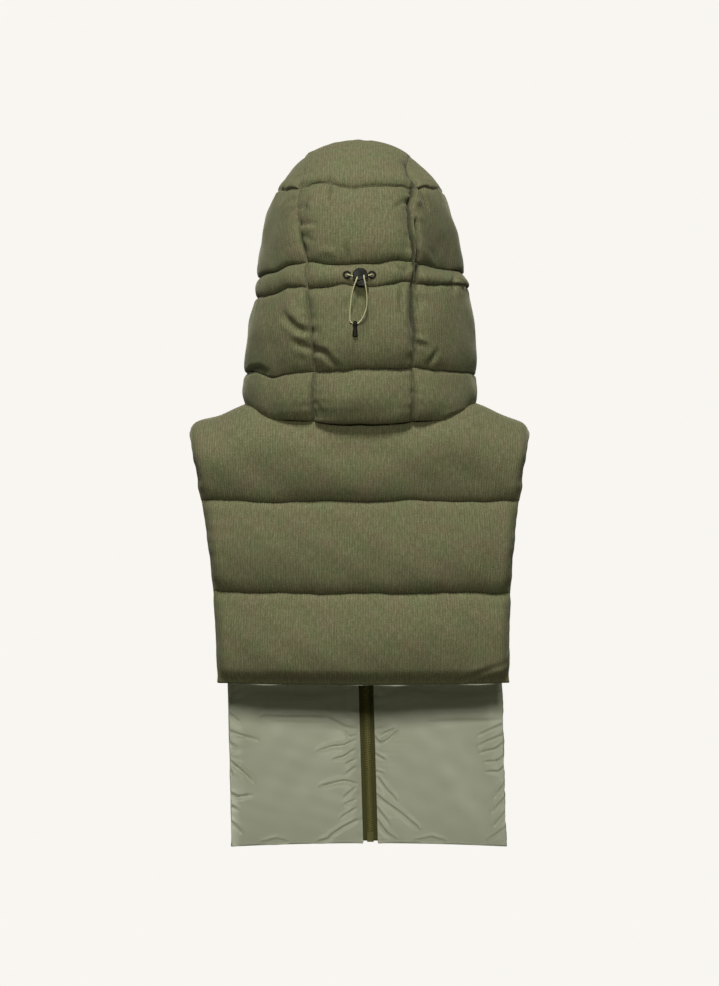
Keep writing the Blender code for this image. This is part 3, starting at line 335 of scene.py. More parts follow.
def puckers(distance, along, spacing, reach, seed):
    """Small folds that run out from a line of stitches, uneven in size and in how far they reach."""
    place = along[..., None] * np.ones(2)
    fold = ripples(place, spacing, seed, 5)
    strength = 0.55 + 0.45 * ripples(place, spacing * 7, seed + 1, 4)
    far = reach * (1 + 0.4 * ripples(place, spacing * 3, seed + 2, 4))
    return fold * np.maximum(0, strength) * np.exp(-distance / np.maximum(far, reach * 0.3))


# ---------------------------------------------------------------- the body's form
def neck_point(angle):
    """The neck seam in plan. Angle 0 is the middle of the back, 90 the shoulder, 180 the front."""
    a = np.radians(angle)
    depth = np.where(np.asarray(angle) <= 90, NECK_BACK, NECK_FRONT)
    return NECK_HALF_WIDTH * np.sin(a), -depth * np.cos(a)


def body_path(top_x, front, steps=60):
    """One upright line of the body's cloth: from the shoulder ridge, over the arch and down to the hem."""
    hem, widths, arch, middle, way, edge = (
        (FRONT_HEM, FRONT_WIDTHS, FRONT_ARCH, FRONT_DEPTH, 1, ZIP_EDGE)
        if front
        else (BACK_HEM, BACK_WIDTHS, BACK_ARCH, BACK_DEPTH, -1, 0.0)
    )
    ridge = eased(RIDGE, abs(top_x))
    share = (abs(top_x) - edge) / (SHOULDER_HALF - edge)
    k = np.arange(2 * steps + 1) / steps
    turn = 0.5 * math.pi * np.minimum(1, k)
    z = ridge - arch * (1 - np.cos(turn)) + (hem - ridge + arch) * np.maximum(0, k - 1)
    x = np.copysign(edge + share * (eased(widths, z) - edge), top_x)
    depth = middle - SIDE_WRAP * (x / SHOULDER_HALF) ** 2
    return np.column_stack([x, way * depth * np.sin(turn), z])


def share_at_height(line, height):
    """The share of a line's length at which it comes down to a height."""
    along = lengths_along(line)
    return float(np.interp(-height, -line[:, 2], along) / along[-1])


def neck_share(line, angle, steps=60):
    """Where an upright line of the body meets the neck seam."""
    along = lengths_along(line)
    depth = abs(float(neck_point(angle)[1]))
    return float(np.interp(depth, np.abs(line[: steps + 1, 1]), along[: steps + 1]) / along[-1])


def lean(points, front):
    """Moves points of the body sideways, as it hangs."""
    points = np.array(points, float)
    low = np.maximum(0, LEAN_START - points[..., 2])
    if front:
        near_zip = 1 + ZIP_LEAN * np.maximum(0, 1 - np.abs(points[..., 0]) / 0.17)
        points[..., 0] += FRONT_LEAN * low * near_zip
    else:
        points[..., 0] += BACK_LEAN * low
    return points


def neck_seam(angle):
    """A point of the neck seam, on the body's form, and the level direction out of it."""
    x, y = (float(v) for v in neck_point(angle))
    depth = NECK_BACK if angle <= 90 else NECK_FRONT
    path = body_path(x, angle > 90)
    share = 0.0 if abs(angle - 90) < 1e-6 else neck_share(path, angle)
    return at_shares(path, [share])[0], unit((x / NECK_HALF_WIDTH**2, y / depth**2, 0))


def neck_line():
    """Points round the whole neck seam, and the level directions out of it."""
    half = [neck_seam(a) for a in range(0, 181, 2)]
    points = [p for p, _ in half] + [p * (-1, 1, 1) for p, _ in half]
    outs = [n for _, n in half] + [n * (-1, 1, 1) for _, n in half]
    return np.array(points), np.array(outs)


# ---------------------------------------------------------------- the hood's form
PROFILE = smooth_line(HOOD_PROFILE)
PROFILE_ALONG = lengths_along(PROFILE)
PROFILE_OUT = -unit(np.gradient(PROFILE, axis=0)[:, ::-1] * (1, -1))
PROFILE_STEPS = 12
FOREHEAD_ALONG = float(PROFILE_ALONG[HOOD_FOREHEAD * PROFILE_STEPS])


def profile_at(along):
    """The hood's outline at distances along it, and the directions straight out of the hood there."""
    point = np.column_stack([np.interp(along, PROFILE_ALONG, c) for c in PROFILE.T])
    out = np.column_stack([np.interp(along, PROFILE_ALONG, c) for c in PROFILE_OUT.T])
    return point, unit(out)


def along_at_height(z):
    """The distance along the outline at which its back reaches a height."""
    back = int(np.argmax(PROFILE[:, 1]))
    return float(np.interp(z, PROFILE[:back, 1], PROFILE_ALONG[:back]))


def gusset_points(shares, along):
    """One row of the gusset, and the directions out of it. Shares run from -1 to 1 across it."""
    shares = np.atleast_1d(shares)
    middle, out = (v[0] for v in profile_at([along]))
    half = eased(HOOD_WIDTHS, middle[1])
    x = shares * eased(GUSSET_WIDTHS, middle[1])
    left = np.sqrt(1 - (x / half) ** 2)
    back = middle - np.outer(1 - left, out) * HOOD_ROUND
    normals = np.column_stack([x / half**2, out[0] * left / HOOD_ROUND, out[1] * left / HOOD_ROUND])
    return np.column_stack([x, back]), unit(normals)


def side_points(flat):
    """The points of the hood's side over places in its outline, and the directions out of them."""
    apart = np.linalg.norm(PROFILE[None] - flat[:, None], axis=2)
    nearest = apart.argmin(axis=1)
    depth = np.minimum(apart.min(axis=1), HOOD_ROUND)
    left = 1 - depth / HOOD_ROUND
    half = eased(HOOD_WIDTHS, flat[:, 1])
    out = PROFILE_OUT[nearest]
    x = half * np.sqrt(1 - left**2)
    normals = np.column_stack([x / half**2, out * (left / HOOD_ROUND)[:, None]])
    return np.column_stack([x, flat]), unit(normals)


def side_line(start, end, steps=60):
    """A level line in the hood's outline, closer set where the hood is round."""
    shares = np.linspace(0, 1, steps)[:, None] ** 1.5
    return np.array(start[1:]) + (np.array(end) - start[1:]) * shares


def side_row(start, line, end, shares):
    """One row of a side panel, from the gusset's edge to the front edge."""
    dense = side_points(line)[0]
    dense[0] = start
    if end is not None:
        dense[-1] = end
    points = at_shares(dense, shares)
    return points, side_points(points[:, 1:])[1]


def roll_row(low, low_out, high, high_out, share, angle):
    """Points of the collar roll: it leaves the neck seam outwards, quickest at the back, and ends upright."""
    behind = np.clip((115 - np.asarray(angle)) / 60, 0, 1)
    flat = 1 - (1 - share) ** (2.2 + 2.4 * behind)
    points = low + (high - low) * np.stack([flat, flat, share + 0 * flat], axis=-1)
    return points, unit((1 - share) * low_out + share * high_out)


def hood_stops():
    """Distances along the outline where the gusset's stitched lines are, and where its corner is."""
    lines = [along_at_height(z) for z in HOOD_LINES]
    corner = along_at_height(HOOD_CORNER_Z)
    crown = corner + (FOREHEAD_ALONG - corner) * CROWN_LINE
    return lines, corner, crown


# ---------------------------------------------------------------- divisions of the fine cloth
CLOTH_STEP = 0.0026  # between the fine mesh's rows and columns


def shares_for(length, turned=(False, False), step=CLOTH_STEP):
    """Even shares of a length at the cloth's step, closer set beside stitches and at a turned edge."""
    shares = np.linspace(0, 1, max(4, round(length / step)) + 1)
    near = [np.array((0.0003, 0.0010, 0.0019) if edge else (0.0008, 0.0017)) / length for edge in turned]
    return np.unique(np.concatenate([shares, near[0], 1 - near[1]]))


GUSSET_ANGLE = math.degrees(math.asin(GUSSET_WIDTHS[0][1] / NECK_HALF_WIDTH))
ZIP_ANGLE = 180 - math.degrees(math.asin(ZIP_EDGE / NECK_HALF_WIDTH))
GUSSET_SHARES = 2 * shares_for(0.124) - 1
SIDE_ANGLES = np.concatenate([
    GUSSET_ANGLE + (90 - GUSSET_ANGLE) * shares_for(0.120)[:-1],
    90 + (ZIP_ANGLE - 90) * shares_for(0.170, (False, True)),
])
SIDE_SHARES = (SIDE_ANGLES - GUSSET_ANGLE) / (ZIP_ANGLE - GUSSET_ANGLE)


# ---------------------------------------------------------------- cloth meshes
SHADE_PAINT_WIDTH = 0.0024  # how far beside stitches painted shade darkens the cloth


def grid_normals(grid, out):
    """Directions out of a grid of points, on the side that a rough direction shows."""
    normals = np.cross(np.gradient(grid, axis=0), np.gradient(grid, axis=1))
    normals = unit(normals)
    return normals * np.sign((normals * out).sum(axis=2))[:, :, None]


def cloth_uv(grid, start_column):
    """Across and along the cloth in metres, across from one column and along from the first row."""
    across = np.cumsum(np.linalg.norm(np.diff(grid, axis=1, prepend=grid[:, :1]), axis=2), axis=1)
    across -= across[:, [start_column]]
    along = np.cumsum(np.linalg.norm(np.diff(grid, axis=0, prepend=grid[:1]), axis=2), axis=0)
    return np.stack([across, along], axis=2)


def closed_cloth(name, outer, inner, uv, collection, painted_shade=0.0):
    """A closed piece between two grids of points. Its outer and inner faces have their own slots, and a
    point attribute holds the painted shade that darkens the outer cloth's colour."""
    rows, columns = outer.shape[:2]
    count = rows * columns
    index = np.arange(count).reshape(rows, columns)
    quads = np.stack([index[:-1, :-1], index[:-1, 1:], index[1:, 1:], index[1:, :-1]], axis=-1)
    quads = quads.reshape(-1, 4)
    rim = np.concatenate([index[0], index[1:, -1], index[-1, -2::-1], index[-2:0:-1, 0]])
    after = np.roll(rim, -1)
    band = np.stack([after, rim, rim + count, after + count], axis=-1)
    faces = np.concatenate([quads, quads[:, ::-1] + count, band])
    points = np.concatenate([outer.reshape(-1, 3), inner.reshape(-1, 3)])
    first = points[faces[0]]
    facing = np.cross(first[1] - first[0], first[2] - first[0])
    if facing @ (outer[0, 0] - inner[0, 0] + outer[1, 1] - inner[1, 1]) < 0:
        faces = faces[:, ::-1]
    mesh = bpy.data.meshes.new(name)
    mesh.from_pydata(points.tolist(), [], faces.tolist())
    inside = np.zeros(len(faces), dtype=np.int32)
    inside[len(quads) : 2 * len(quads)] = 1
    mesh.polygons.foreach_set("material_index", inside)
    layer = mesh.uv_layers.new(name="cloth")
    corner = np.zeros(len(mesh.loops), dtype=np.int32)
    mesh.loops.foreach_get("vertex_index", corner)
    both = np.concatenate([uv.reshape(-1, 2)] * 2)
    layer.uv.foreach_set("vector", both[corner].ravel())
    flat = np.zeros(2 * count)
    flat[:count] = np.broadcast_to(painted_shade, (rows, columns)).ravel()
    mesh.attributes.new("painted_shade", "FLOAT", "POINT").data.foreach_set("value", flat)
    mesh.shade_smooth()
    made = bpy.data.objects.new(name, mesh)
    collection.objects.link(made)
    return made


def quilting_rows(baffles):
    """The rows of a panel's grid that are stitched through: the last one of each baffle but the top one."""
    baffles = np.array(baffles)
    return [int(np.argmax(baffles == line)) - 1 for line in range(1, baffles.max() + 1)]


class Panel:
    """A padded panel on a grid: its middle, its directions out, and how far it swells to each side."""

    def __init__(self, grid, normals, start_column):
        self.grid = np.array(grid, float)
        self.normals = np.array(normals, float)
        self.uv = cloth_uv(self.grid, start_column)
        self.ribs = self.uv[:, :, 0]
        self.outer = np.zeros(self.grid.shape[:2])
        self.droop = np.zeros(self.grid.shape[:2])  # how far the outer cloth hangs down over a line
        self.inner = np.zeros(self.grid.shape[:2])
        self.painted_shade = np.zeros(self.grid.shape[:2])  # painted shade beside stitches and down in folds, from 0 to 1

    def paint_shade(self, amount):
        """Paints shade at least this dark onto the outer cloth."""
        self.painted_shade = np.maximum(self.painted_shade, np.clip(amount, 0, 1))

    def paint_shade_beside(self, distance, amount):
        """Paints shade beside stitches, fading with the distance from them."""
        self.paint_shade(amount * bell(distance, SHADE_PAINT_WIDTH))

    def row_distance(self, row):
        """Distance of each point from one of the rows, along its column."""
        return np.abs(self.uv[:, :, 1] - self.uv[row][None, :, 1])

    def column_distance(self, column):
        """Distance of each point from one of the columns, along its row."""
        return np.abs(self.uv[:, :, 0] - self.uv[:, column][:, None, 0])

    def turn_edge(self, distance):
        """Gives the cloth a turned, bound edge where the distance runs out."""
        near = distance < HEM_THICK
        half = HEM_THICK / 2 * rounded(distance, HEM_THICK / 2)
        for side in (self.outer, self.inner):
            full = np.maximum(side, HEM_THICK / 2)
            share = np.clip(distance / HEM_THICK, 0, 1)
            side[near] = (np.minimum(full, half) * (1 - share) + side * share)[near]

    def surface(self, side):
        """The points of the panel's outer cloth, side 1, or of its inner cloth, side -1."""
        offset = self.outer if side > 0 else -self.inner
        down = self.droop * (side > 0)
        return self.grid + self.normals * offset[:, :, None] - down[:, :, None] * (0, 0, 1)

    def hang_over(self, row, amount):
        """Lets the cloth above a stitched line hang a little way down over it."""
        above = np.maximum(0, self.uv[:, :, 1] - self.uv[row][None, :, 1]) / 0.0025
        upright = np.clip(1.3 - np.abs(self.normals[:, :, 2]) * 1.3, 0, 1)
        self.droop += amount * upright * above * np.exp(1 - above)

    def line(self, row, side=1, lift=0.0001):
        """A stitched row of the panel, on its outer or inner cloth, with the directions out of it."""
        out = self.normals[row] * side
        return self.surface(side)[row] + out * lift, out

    def upright(self, column, side=1, lift=0.0001):
        """A stitched column of the panel, as line gives a row."""
        out = self.normals[:, column] * side
        return self.surface(side)[:, column] + out * lift, out

    def make(self, name, collection):
        """The panel's closed piece, with its ribs across and its length along in the UV map."""
        uv = np.stack([self.ribs, self.uv[:, :, 1]], axis=2)
        return closed_cloth(name, self.surface(1), self.surface(-1), uv, collection, self.painted_shade)


# Folds that the worn garment shows, seen square from the back: points across and up, then depth, width
# and how far the cloth beside the fold stands up, all in mm. A fold with a negative depth stands proud.
HOOD_FOLDS = (
    # right of the back gusset: the deep fold, the roll of cloth beside it and the pleats over the crown
    (((65, 218), (66.5, 200), (67, 180), (67.5, 160), (66.5, 146), (65, 136)), 7.5, 2.2, 0.0),
    (((59, 228), (60.5, 200), (61, 178), (60, 160), (60, 146)), -5.0, 3.0, 0.0),
    (((60, 273), (66, 262), (70.5, 254), (76, 242), (80, 231)), 3.0, 2.6, 0.6),
    (((62, 262), (65, 246), (66, 232)), -2.6, 4.0, 0.0),
    (((61, 219), (67, 220), (73, 218)), -2.4, 3.0, 0.0),
    (((61, 236), (67, 238), (72, 237)), -1.6, 3.0, 0.0),
    (((52, 288), (55, 280), (57, 272), (58, 262)), 3.0, 2.6, 0.5),
    (((44, 254), (50, 250), (58, 249)), 1.6, 1.9, 0.3),
    (((57, 239), (47, 235), (39, 228)), 1.6, 2.2, 0.4),
    (((99, 202), (95.5, 190), (93, 178)), 1.0, 5.0, 0.2),
    (((108, 203), (106, 182), (104, 165)), 1.1, 5.0, 0.2),
    (((89, 170), (84, 184)), 1.6, 3.0, 0.3),
    # left of the gusset: curls along the seam
    (((-36, 267), (-34.5, 258), (-34, 248), (-35, 237)), 2.8, 2.5, 0.4),
    (((-30, 247), (-30.5, 236)), -1.6, 2.5, 0.0),
    (((-70, 247), (-63, 252), (-58, 259)), 1.5, 2.0, 0.4),
    (((-72, 230), (-65, 233), (-56, 228)), 1.9, 2.0, 0.6),
    (((-62, 241), (-64, 226), (-66, 213)), 1.8, 3.0, 0.3),
    (((-74, 214), (-64, 211), (-50, 210)), 2.2, 2.0, 0.0),
    (((-70, 206), (-60, 206), (-52, 205)), -1.8, 2.4, 0.0),
    (((-66, 198), (-58, 193), (-52, 189)), 1.4, 2.0, 0.4),
    (((-64, 186), (-60, 178)), 1.3, 2.0, 0.3),
    (((-46, 176), (-38, 178), (-29, 174)), -1.8, 4.0, 0.0),
    (((-16, 187), (-14, 174), (-14, 162)), 2.4, 2.4, 0.4),
    # the drawcord tunnel and its ends
    (((42, 165), (47, 158), (52, 155.5), (59, 163)), 2.6, 2.2, 0.4),
    (((112, 158), (110, 147), (109.5, 134)), 3.2, 2.5, 0.4),
    (((112, 150), (121, 146)), 1.6, 2.0, 0.3),
    (((112, 141), (120, 139)), 1.6, 2.0, 0.3),
    (((119, 153), (122, 139)), -3.5, 8.0, 0.0),
    # below the tunnel, right: pleats that run down from it
    (((47.5, 138), (47, 120), (49, 105)), 2.6, 2.3, 0.4),
    (((52.5, 135), (52, 118), (53, 101)), -1.6, 2.4, 0.0),
    (((59, 138), (58.6, 110), (59.5, 85), (60.4, 68)), 4.0, 2.1, 0.0),
    (((66, 136), (67.5, 120), (67, 107)), 2.6, 2.3, 0.4),
    (((61, 79), (68, 78), (77, 74)), -2.4, 2.8, 0.0),
    (((61, 72), (71, 70)), 1.2, 2.4, 0.0),
    (((78, 47), (84, 55), (90, 64)), 1.8, 3.0, 0.4),
    # below the tunnel, left
    (((-86, 104), (-76, 93), (-64, 86), (-50, 85)), 2.8, 4.0, 1.2),
    (((-84, 122), (-78, 108), (-66, 98)), -1.4, 7.0, 0.0),
    (((-72, 80), (-62, 80), (-54, 78)), -1.5, 4.0, 0.0),
    (((-74, 73), (-60, 67), (-52, 65), (-40, 61), (-33, 52), (-24, 43)), 2.4, 3.4, 1.0),
    (((-63, 57), (-55, 55)), -1.5, 4.0, 0.0),
    (((-60, 129), (-57, 112), (-55, 96)), 1.7, 4.0, 0.0),
    (((-62, 141), (-56, 133)), 1.5, 2.0, 0.3),
    (((-8, 137), (-14, 128), (-20, 119)), -1.3, 3.0, 0.0),
    (((11, 126), (9, 100), (3, 74)), 1.6, 7.0, 0.3),
    # the collar roll
    (((-134, 40), (-126, 45), (-118, 46), (-109, 41)), 3.6, 3.0, 0.4),
    (((95, -20), (104, -13), (119, -7)), 3.0, 2.5, 0.4),
    (((-51, 3), (-46, -2), (-45, -8)), 1.2, 2.4, 0.3),
    (((59, 17), (66, 14)), 1.2, 2.2, 0.3),
)
BACK_FOLDS = (
    (((116, -318), (145, -306), (172, -297)), 1.1, 3.0, 0.3),
)
LEFT_LINING_FOLDS = (
    (((-150, -352), (-120, -348), (-60, -352), (-20, -346)), 3.0, 6.0, 0.0),
    (((-118, -377), (-80, -378), (-40, -379), (-20, -390), (-10, -392)), 2.2, 2.8, 0.2),
    (((-162, -371), (-154, -377), (-148, -383)), 1.8, 1.8, 0.2),
    (((-163, -393), (-148, -398), (-129, -404)), 1.7, 1.9, 0.2),
    (((-163, -407), (-155, -411)), 1.3, 1.7, 0.2),
    (((-164, -428), (-148, -440), (-133, -455)), 1.8, 1.9, 0.2),
    (((-164, -436), (-158, -446)), 1.5, 1.8, 0.2),
    (((-163, -470), (-150, -475), (-137, -473)), 1.7, 2.2, 0.2),
    (((-163, -484), (-152, -490)), 1.4, 1.8, 0.2),
    (((-163, -503), (-154, -510), (-147, -518)), 1.6, 1.9, 0.2),
    (((-50, -420), (-34, -415), (-20, -414), (-8, -408)), 2.0, 1.9, 0.2),
    (((-30, -430), (-20, -428), (-8, -420)), 1.6, 1.7, 0.2),
    (((-18, -396), (-12, -404), (-7, -402)), 1.3, 1.6, 0.2),
    (((-16, -436), (-7, -432)), 1.2, 1.6, 0.2),
    (((-16, -448), (-7, -442)), 1.3, 1.6, 0.2),
    (((-46, -464), (-30, -460), (-18, -458), (-6, -461)), 2.0, 2.0, 0.2),
    (((-17, -476), (-7, -468)), 1.3, 1.6, 0.2),
    (((-18, -487), (-7, -482)), 1.4, 1.6, 0.2),
    (((-22, -503), (-14, -498), (-6, -493)), 1.3, 1.6, 0.2),
    (((-38, -528), (-22, -517), (-5, -508)), 2.0, 2.0, 0.2),
    (((-50, -534), (-36, -530)), 1.4, 2.0, 0.2),
    (((-120, -534), (-104, -530), (-92, -533)), 1.0, 2.2, 0.2),
)
RIGHT_LINING_FOLDS = (
    (((30, -352), (60, -346), (110, -350), (165, -345)), 2.6, 6.0, 0.0),
    (((94, -383), (130, -381), (168, -380)), 0.8, 3.0, 0.0),
    (((15, -395), (26, -392)), 1.3, 1.6, 0.2),
    (((18, -404), (26, -412), (34, -408), (44, -398)), 2.3, 2.0, 0.3),
    (((26, -402), (42, -394)), 1.5, 2.0, 0.2),
    (((17, -424), (30, -431)), 1.7, 1.6, 0.2),
    (((17, -446), (27, -448)), 1.3, 1.6, 0.2),
    (((24, -456), (34, -470), (44, -480)), 1.6, 1.8, 0.2),
    (((18, -474), (34, -486), (52, -499), (72, -516)), 2.2, 2.0, 0.2),
    (((17, -486), (28, -500), (36, -510)), 1.4, 1.7, 0.2),
    (((20, -506), (34, -524), (44, -531)), 2.0, 2.0, 0.2),
    (((150, -398), (166, -390), (181, -384)), 1.5, 1.8, 0.2),
    (((150, -411), (164, -404), (182, -396)), 1.8, 1.8, 0.2),
    (((152, -420), (168, -416), (182, -406)), 1.8, 1.8, 0.2),
    (((158, -432), (170, -431), (182, -422)), 1.8, 1.8, 0.2),
    (((160, -444), (172, -444), (182, -436)), 1.5, 1.8, 0.2),
    (((168, -474), (182, -456)), 1.7, 1.8, 0.2),
    (((166, -492), (182, -474)), 1.5, 1.8, 0.2),
    (((168, -509), (182, -492)), 1.5, 1.8, 0.2),
    (((162, -528), (182, -512)), 1.6, 1.9, 0.2),
    (((70, -534), (90, -529), (104, -533)), 1.0, 2.2, 0.2),
)
# How the hood's stitched lines run up and down across the back, from the collar line to the crown line.
# columns: across, up, in mm
HOOD_COURSES = (
    ((-135, 8), (-118, 6), (-103, 0), (-85, 3), (-60, 2), (0, 5), (57, 4), (70, 3), (135, 0)),
    ((-135, -4), (-100, 0), (-58, 4), (-20, 2), (0, 0), (30, 3), (57, 7), (64, 4), (100, 4), (135, 6)),
    ((-135, -4), (-100, 0), (-62, 8), (-40, 3), (0, 0), (30, 3), (57, 7), (66, 5), (100, -1), (135, -4)),
    (
        (-130, 7), (-100, 12), (-75, 14), (-56, 14), (-36, 11), (-20, 4), (0, 1), (30, 4), (57, 11), (75, 11),
        (110, 9),
    ),
)
# How far the gusset's two seams stand to the right of a straight cut. columns: height, across, in mm
SEAM_DRIFTS = {
    -1: (
        (-30, 5), (40, 5.5), (60, 6), (90, 4), (130, 0.5), (166, 1), (200, -4), (235, -6), (270, -3),
        (300, 0),
    ),
    1: (
        (-30, 2.6), (60, 3), (80, 3), (105, 0), (160, -1), (186, -4), (203, -8), (231, -9), (249, -4),
        (262, -3.5), (285, -8), (300, -4),
    ),
}


FOLD_SHADE_DEPTH = 0.007  # depth of a fold that gets the darkest painted shade
FOLD_SHADE_FREE = 0.12  # a fold shallower than this share of it gets no painted shade
LINING_OVERHANG = -1.15  # how much the lining above a crease hangs over it, as a share of its depth


def crease_field(points, creases, fold=0.0):
    """How far marked creases push cloth in, and the lips beside them push it out, in metres. With a
    fold, the cloth below each crease stands up and the cloth above it sinks, and with a negative one the
    cloth above hangs over the crease."""
    moved = np.zeros(points.shape[:-1])
    for line, depth, width, lip in creases:
        line = np.array(line, float) / 1000
        flat = points[..., (0, 2)]
        along = lengths_along(line)
        nearest = np.full(flat.shape[:-1], np.inf)
        below = np.zeros(flat.shape[:-1])
        share = np.zeros(flat.shape[:-1])
        for i, (a, b) in enumerate(zip(line, line[1:])):
            way = b - a
            t = np.clip(((flat - a) @ way) / (way @ way), 0, 1)
            apart = np.linalg.norm(flat - (a + t[..., None] * way), axis=-1)
            closer = apart < nearest
            nearest = np.where(closer, apart, nearest)
            side = way[0] * (flat[..., 1] - a[1]) - way[1] * (flat[..., 0] - a[0])
            below = np.where(closer, -np.sign(side) * math.copysign(1, way[0]), below)
            share = np.where(closer, (along[i] + t * (along[i + 1] - along[i])) / along[-1], share)
        taper = np.sin(math.pi * np.clip(0.08 + 0.84 * share, 0, 1)) ** 0.7
        reach = nearest / (width / 1000)
        moved -= depth / 1000 * taper * np.exp(-(reach**2))
        moved += fold * depth / 1000 * taper * below * reach * np.exp(0.5 - 0.5 * reach**2)
        moved += lip / 1000 * taper * np.exp(-(((reach - 1.9) / 1.1) ** 2))
    return moved


def add_folds(panel, folds, strength):
    """Works the folds into the outer cloth, only on the side of the body that they are seen on, and paints
    shade down in them, darker the deeper they are.
    """
    points = panel.surface(1)
    seen = np.clip(0.5 - points[:, :, 1] / 0.04, 0, 1)
    field = seen * crease_field(points, folds) * strength
    panel.outer = np.maximum(panel.outer + field, 0.0006)
    # painted shade: the deeper a fold, the darker its cloth is painted
    panel.paint_shade(-field / FOLD_SHADE_DEPTH - FOLD_SHADE_FREE)


# ---------------------------------------------------------------- body panels
NECK_SEAM, NECK_OUTS = neck_line()
# Where the worn shoulders hang lower than their cut. columns: across, half width, drop
SHOULDER_DROPS = ((-0.160, 0.020, 0.0043), (0.168, 0.022, 0.0021))
NECK_FILL = 1.70  # how full the body is right under the collar roll
BACK_RISES = (0.0070, 0.0048)  # how far the worn back's stitched lines are pulled up, the lower one first
LINING_STEP = 0.0013  # a front lining's finer mesh, where it shows below the back panel
HIDDEN_STEP = 1.4 * CLOTH_STEP  # and its coarser one above that


def neck_distance(grid):
    """How far each point is from the neck seam, and which of its points is nearest."""
    apart = np.linalg.norm(grid[:, :, None] - NECK_SEAM, axis=-1)
    return apart.min(axis=2), apart.argmin(axis=2)


def body_columns(front, step):
    """The body's upright lines from the middle out: where each starts at the ridge, where it runs lower
    down, and the angle at which it meets the neck seam, if it does."""
    start = ZIP_EDGE if front else 0.0
    first = ZIP_ANGLE if front else 0.0
    reach = NECK_HALF_WIDTH - start
    neck = []
    for t in shares_for(reach, (front, False), step)[:-1]:
        angle = first + (90 - first) * t
        neck.append((float(neck_point(angle)[0]), start + reach * t, angle))
    width = SHOULDER_HALF - NECK_HALF_WIDTH
    outer = [(NECK_HALF_WIDTH + width * s,) * 2 + (None,) for s in shares_for(width, (False, True), step)]
    half = neck + outer
    if front:
        return half
    return [(-x, -low, a) for x, low, a in reversed(half[1:])] + half


def body_grid(front, sign=1, step=CLOTH_STEP):
    """The middle of a body panel from the hem up, its directions out, and its rows' shares and baffles."""
    columns = body_columns(front, step)
    heights = [FRONT_HEM, *reversed(FRONT_LINES)] if front else [BACK_HEM, *reversed(BACK_LINES)]
    upper_step = HIDDEN_STEP if step < CLOTH_STEP else CLOTH_STEP
    rows = []
    for k in range(len(heights)):
        length = heights[k + 1] - heights[k] if k + 1 < len(heights) else YOKE_LENGTH
        shares = shares_for(length, (k == 0, False), step if k < 2 else upper_step)
        rows += [(k, s) for s in (shares if k == 0 else shares[1:])]
    baffle = np.array([k for k, _ in rows])
    share = np.array([s for _, s in rows])
    over = np.where(baffle == len(heights) - 1, share**1.5, 0)[:, None]
    made = []
    for top_x, low_x, angle in columns:
        lines = []
        for x in (low_x, top_x):
            path = body_path(x, front)
            stops = [share_at_height(path, z) for z in heights]
            stops.append(0.0 if angle is None else neck_share(path, angle))
            stops = np.array(stops)
            lines.append(at_shares(path, stops[baffle] + (stops[baffle + 1] - stops[baffle]) * share))
        made.append(lines[0] * (1 - over) + lines[1] * over)
    grid = np.array(made).transpose(1, 0, 2)
    grid = lean(grid * (sign, 1, 1), front)
    way = 1 if front else -1
    normals = grid_normals(grid, (0, way, 0.6))
    for j, (x, _, angle) in enumerate(columns):
        if angle is not None or abs(x) <= NECK_HALF_WIDTH:
            normals[-1, j] = neck_seam(angle or 90)[1] * (math.copysign(1, x) * sign, 1, 1)
        else:
            rise = float(eased(RIDGE, abs(x) + 0.004) - eased(RIDGE, abs(x) - 0.004)) / 0.008
            normals[-1, j] = unit((-rise * math.copysign(1, x) * sign, 0, 1))
    for place, width, drop in SHOULDER_DROPS:
        high = ramp(grid[:, :, 2], -0.075, 0.06)
        grid[:, :, 2] -= drop * high * bell(grid[:, :, 0] - place, width)
    apart, nearest = neck_distance(grid)
    share_near = np.minimum(1, apart / NECK_MITRE)[:, :, None]
    normals = unit(NECK_OUTS[nearest] * (1 - share_near) + normals * share_near)
    return grid, normals, share, baffle


def wobble_lines(grid, share, baffle, rises, amount, seed):
    """Lets the stitched lines that cross a panel wander, and lifts each by its rise."""
    place = np.stack([grid[:, :, 0], grid[:, :, 1]], axis=2)
    for line, rise in enumerate(rises, 1):
        near = np.where(baffle == line, (1 - share) ** 3, np.where(baffle == line - 1, share**3, 0))
        lift = np.where(baffle == line, 1 - share, np.where(baffle == line - 1, share, 0))
        grid[:, :, 2] += rise * lift[:, None]
        wave = ripples(place, 0.085, seed + line, 5) + 0.5 * ripples(place, 0.030, seed + 50 + line, 5)
        grid[:, :, 2] += amount * near[:, None] * wave


def quilt_puckers(panel, rows, amount, seed):
    """Short folds above and below each stitched line."""
    for line, row in enumerate(rows, 1):
        distance = panel.row_distance(row)
        along = panel.uv[:, :, 0]
        fold = puckers(distance, along, 0.014, 0.011, seed + 10 * line)
        panel.outer += amount * fold * np.clip(distance / 0.003, 0, 1)


LOFT, LINE_LOFT = 1.6, 0.35  # the outer cloth's rise in a baffle and beside its stitches, against the cut's
HOOD_LOFT = 1.35
TUNNEL_LOFT = (1.0, 1.75)  # at the cord lock, and away from it
SHOULDER = (0.0065, 0.32)  # how far from its stitches a baffle is drawn down, and by how much of its height
OVERHANG = 0.0035  # how far a baffle's foot hangs down over its stitched line
EDGE_REACH = 0.018  # how far in from a hem, an armhole or the zip a body baffle is still thinner
SEAM_REACH = 0.022  # how far in from a seam a hood baffle is
ROW_SHADE = 0.30  # how dark the painted shade along a body's stitched line is


def groove(outer, distance, width=0.0019, depth=0.85, low=0.0005):
    """The narrow valley where a row of stitches pulls the outer cloth down towards the seam."""
    return low + (outer - low) * (1 - depth * bell(distance, width))


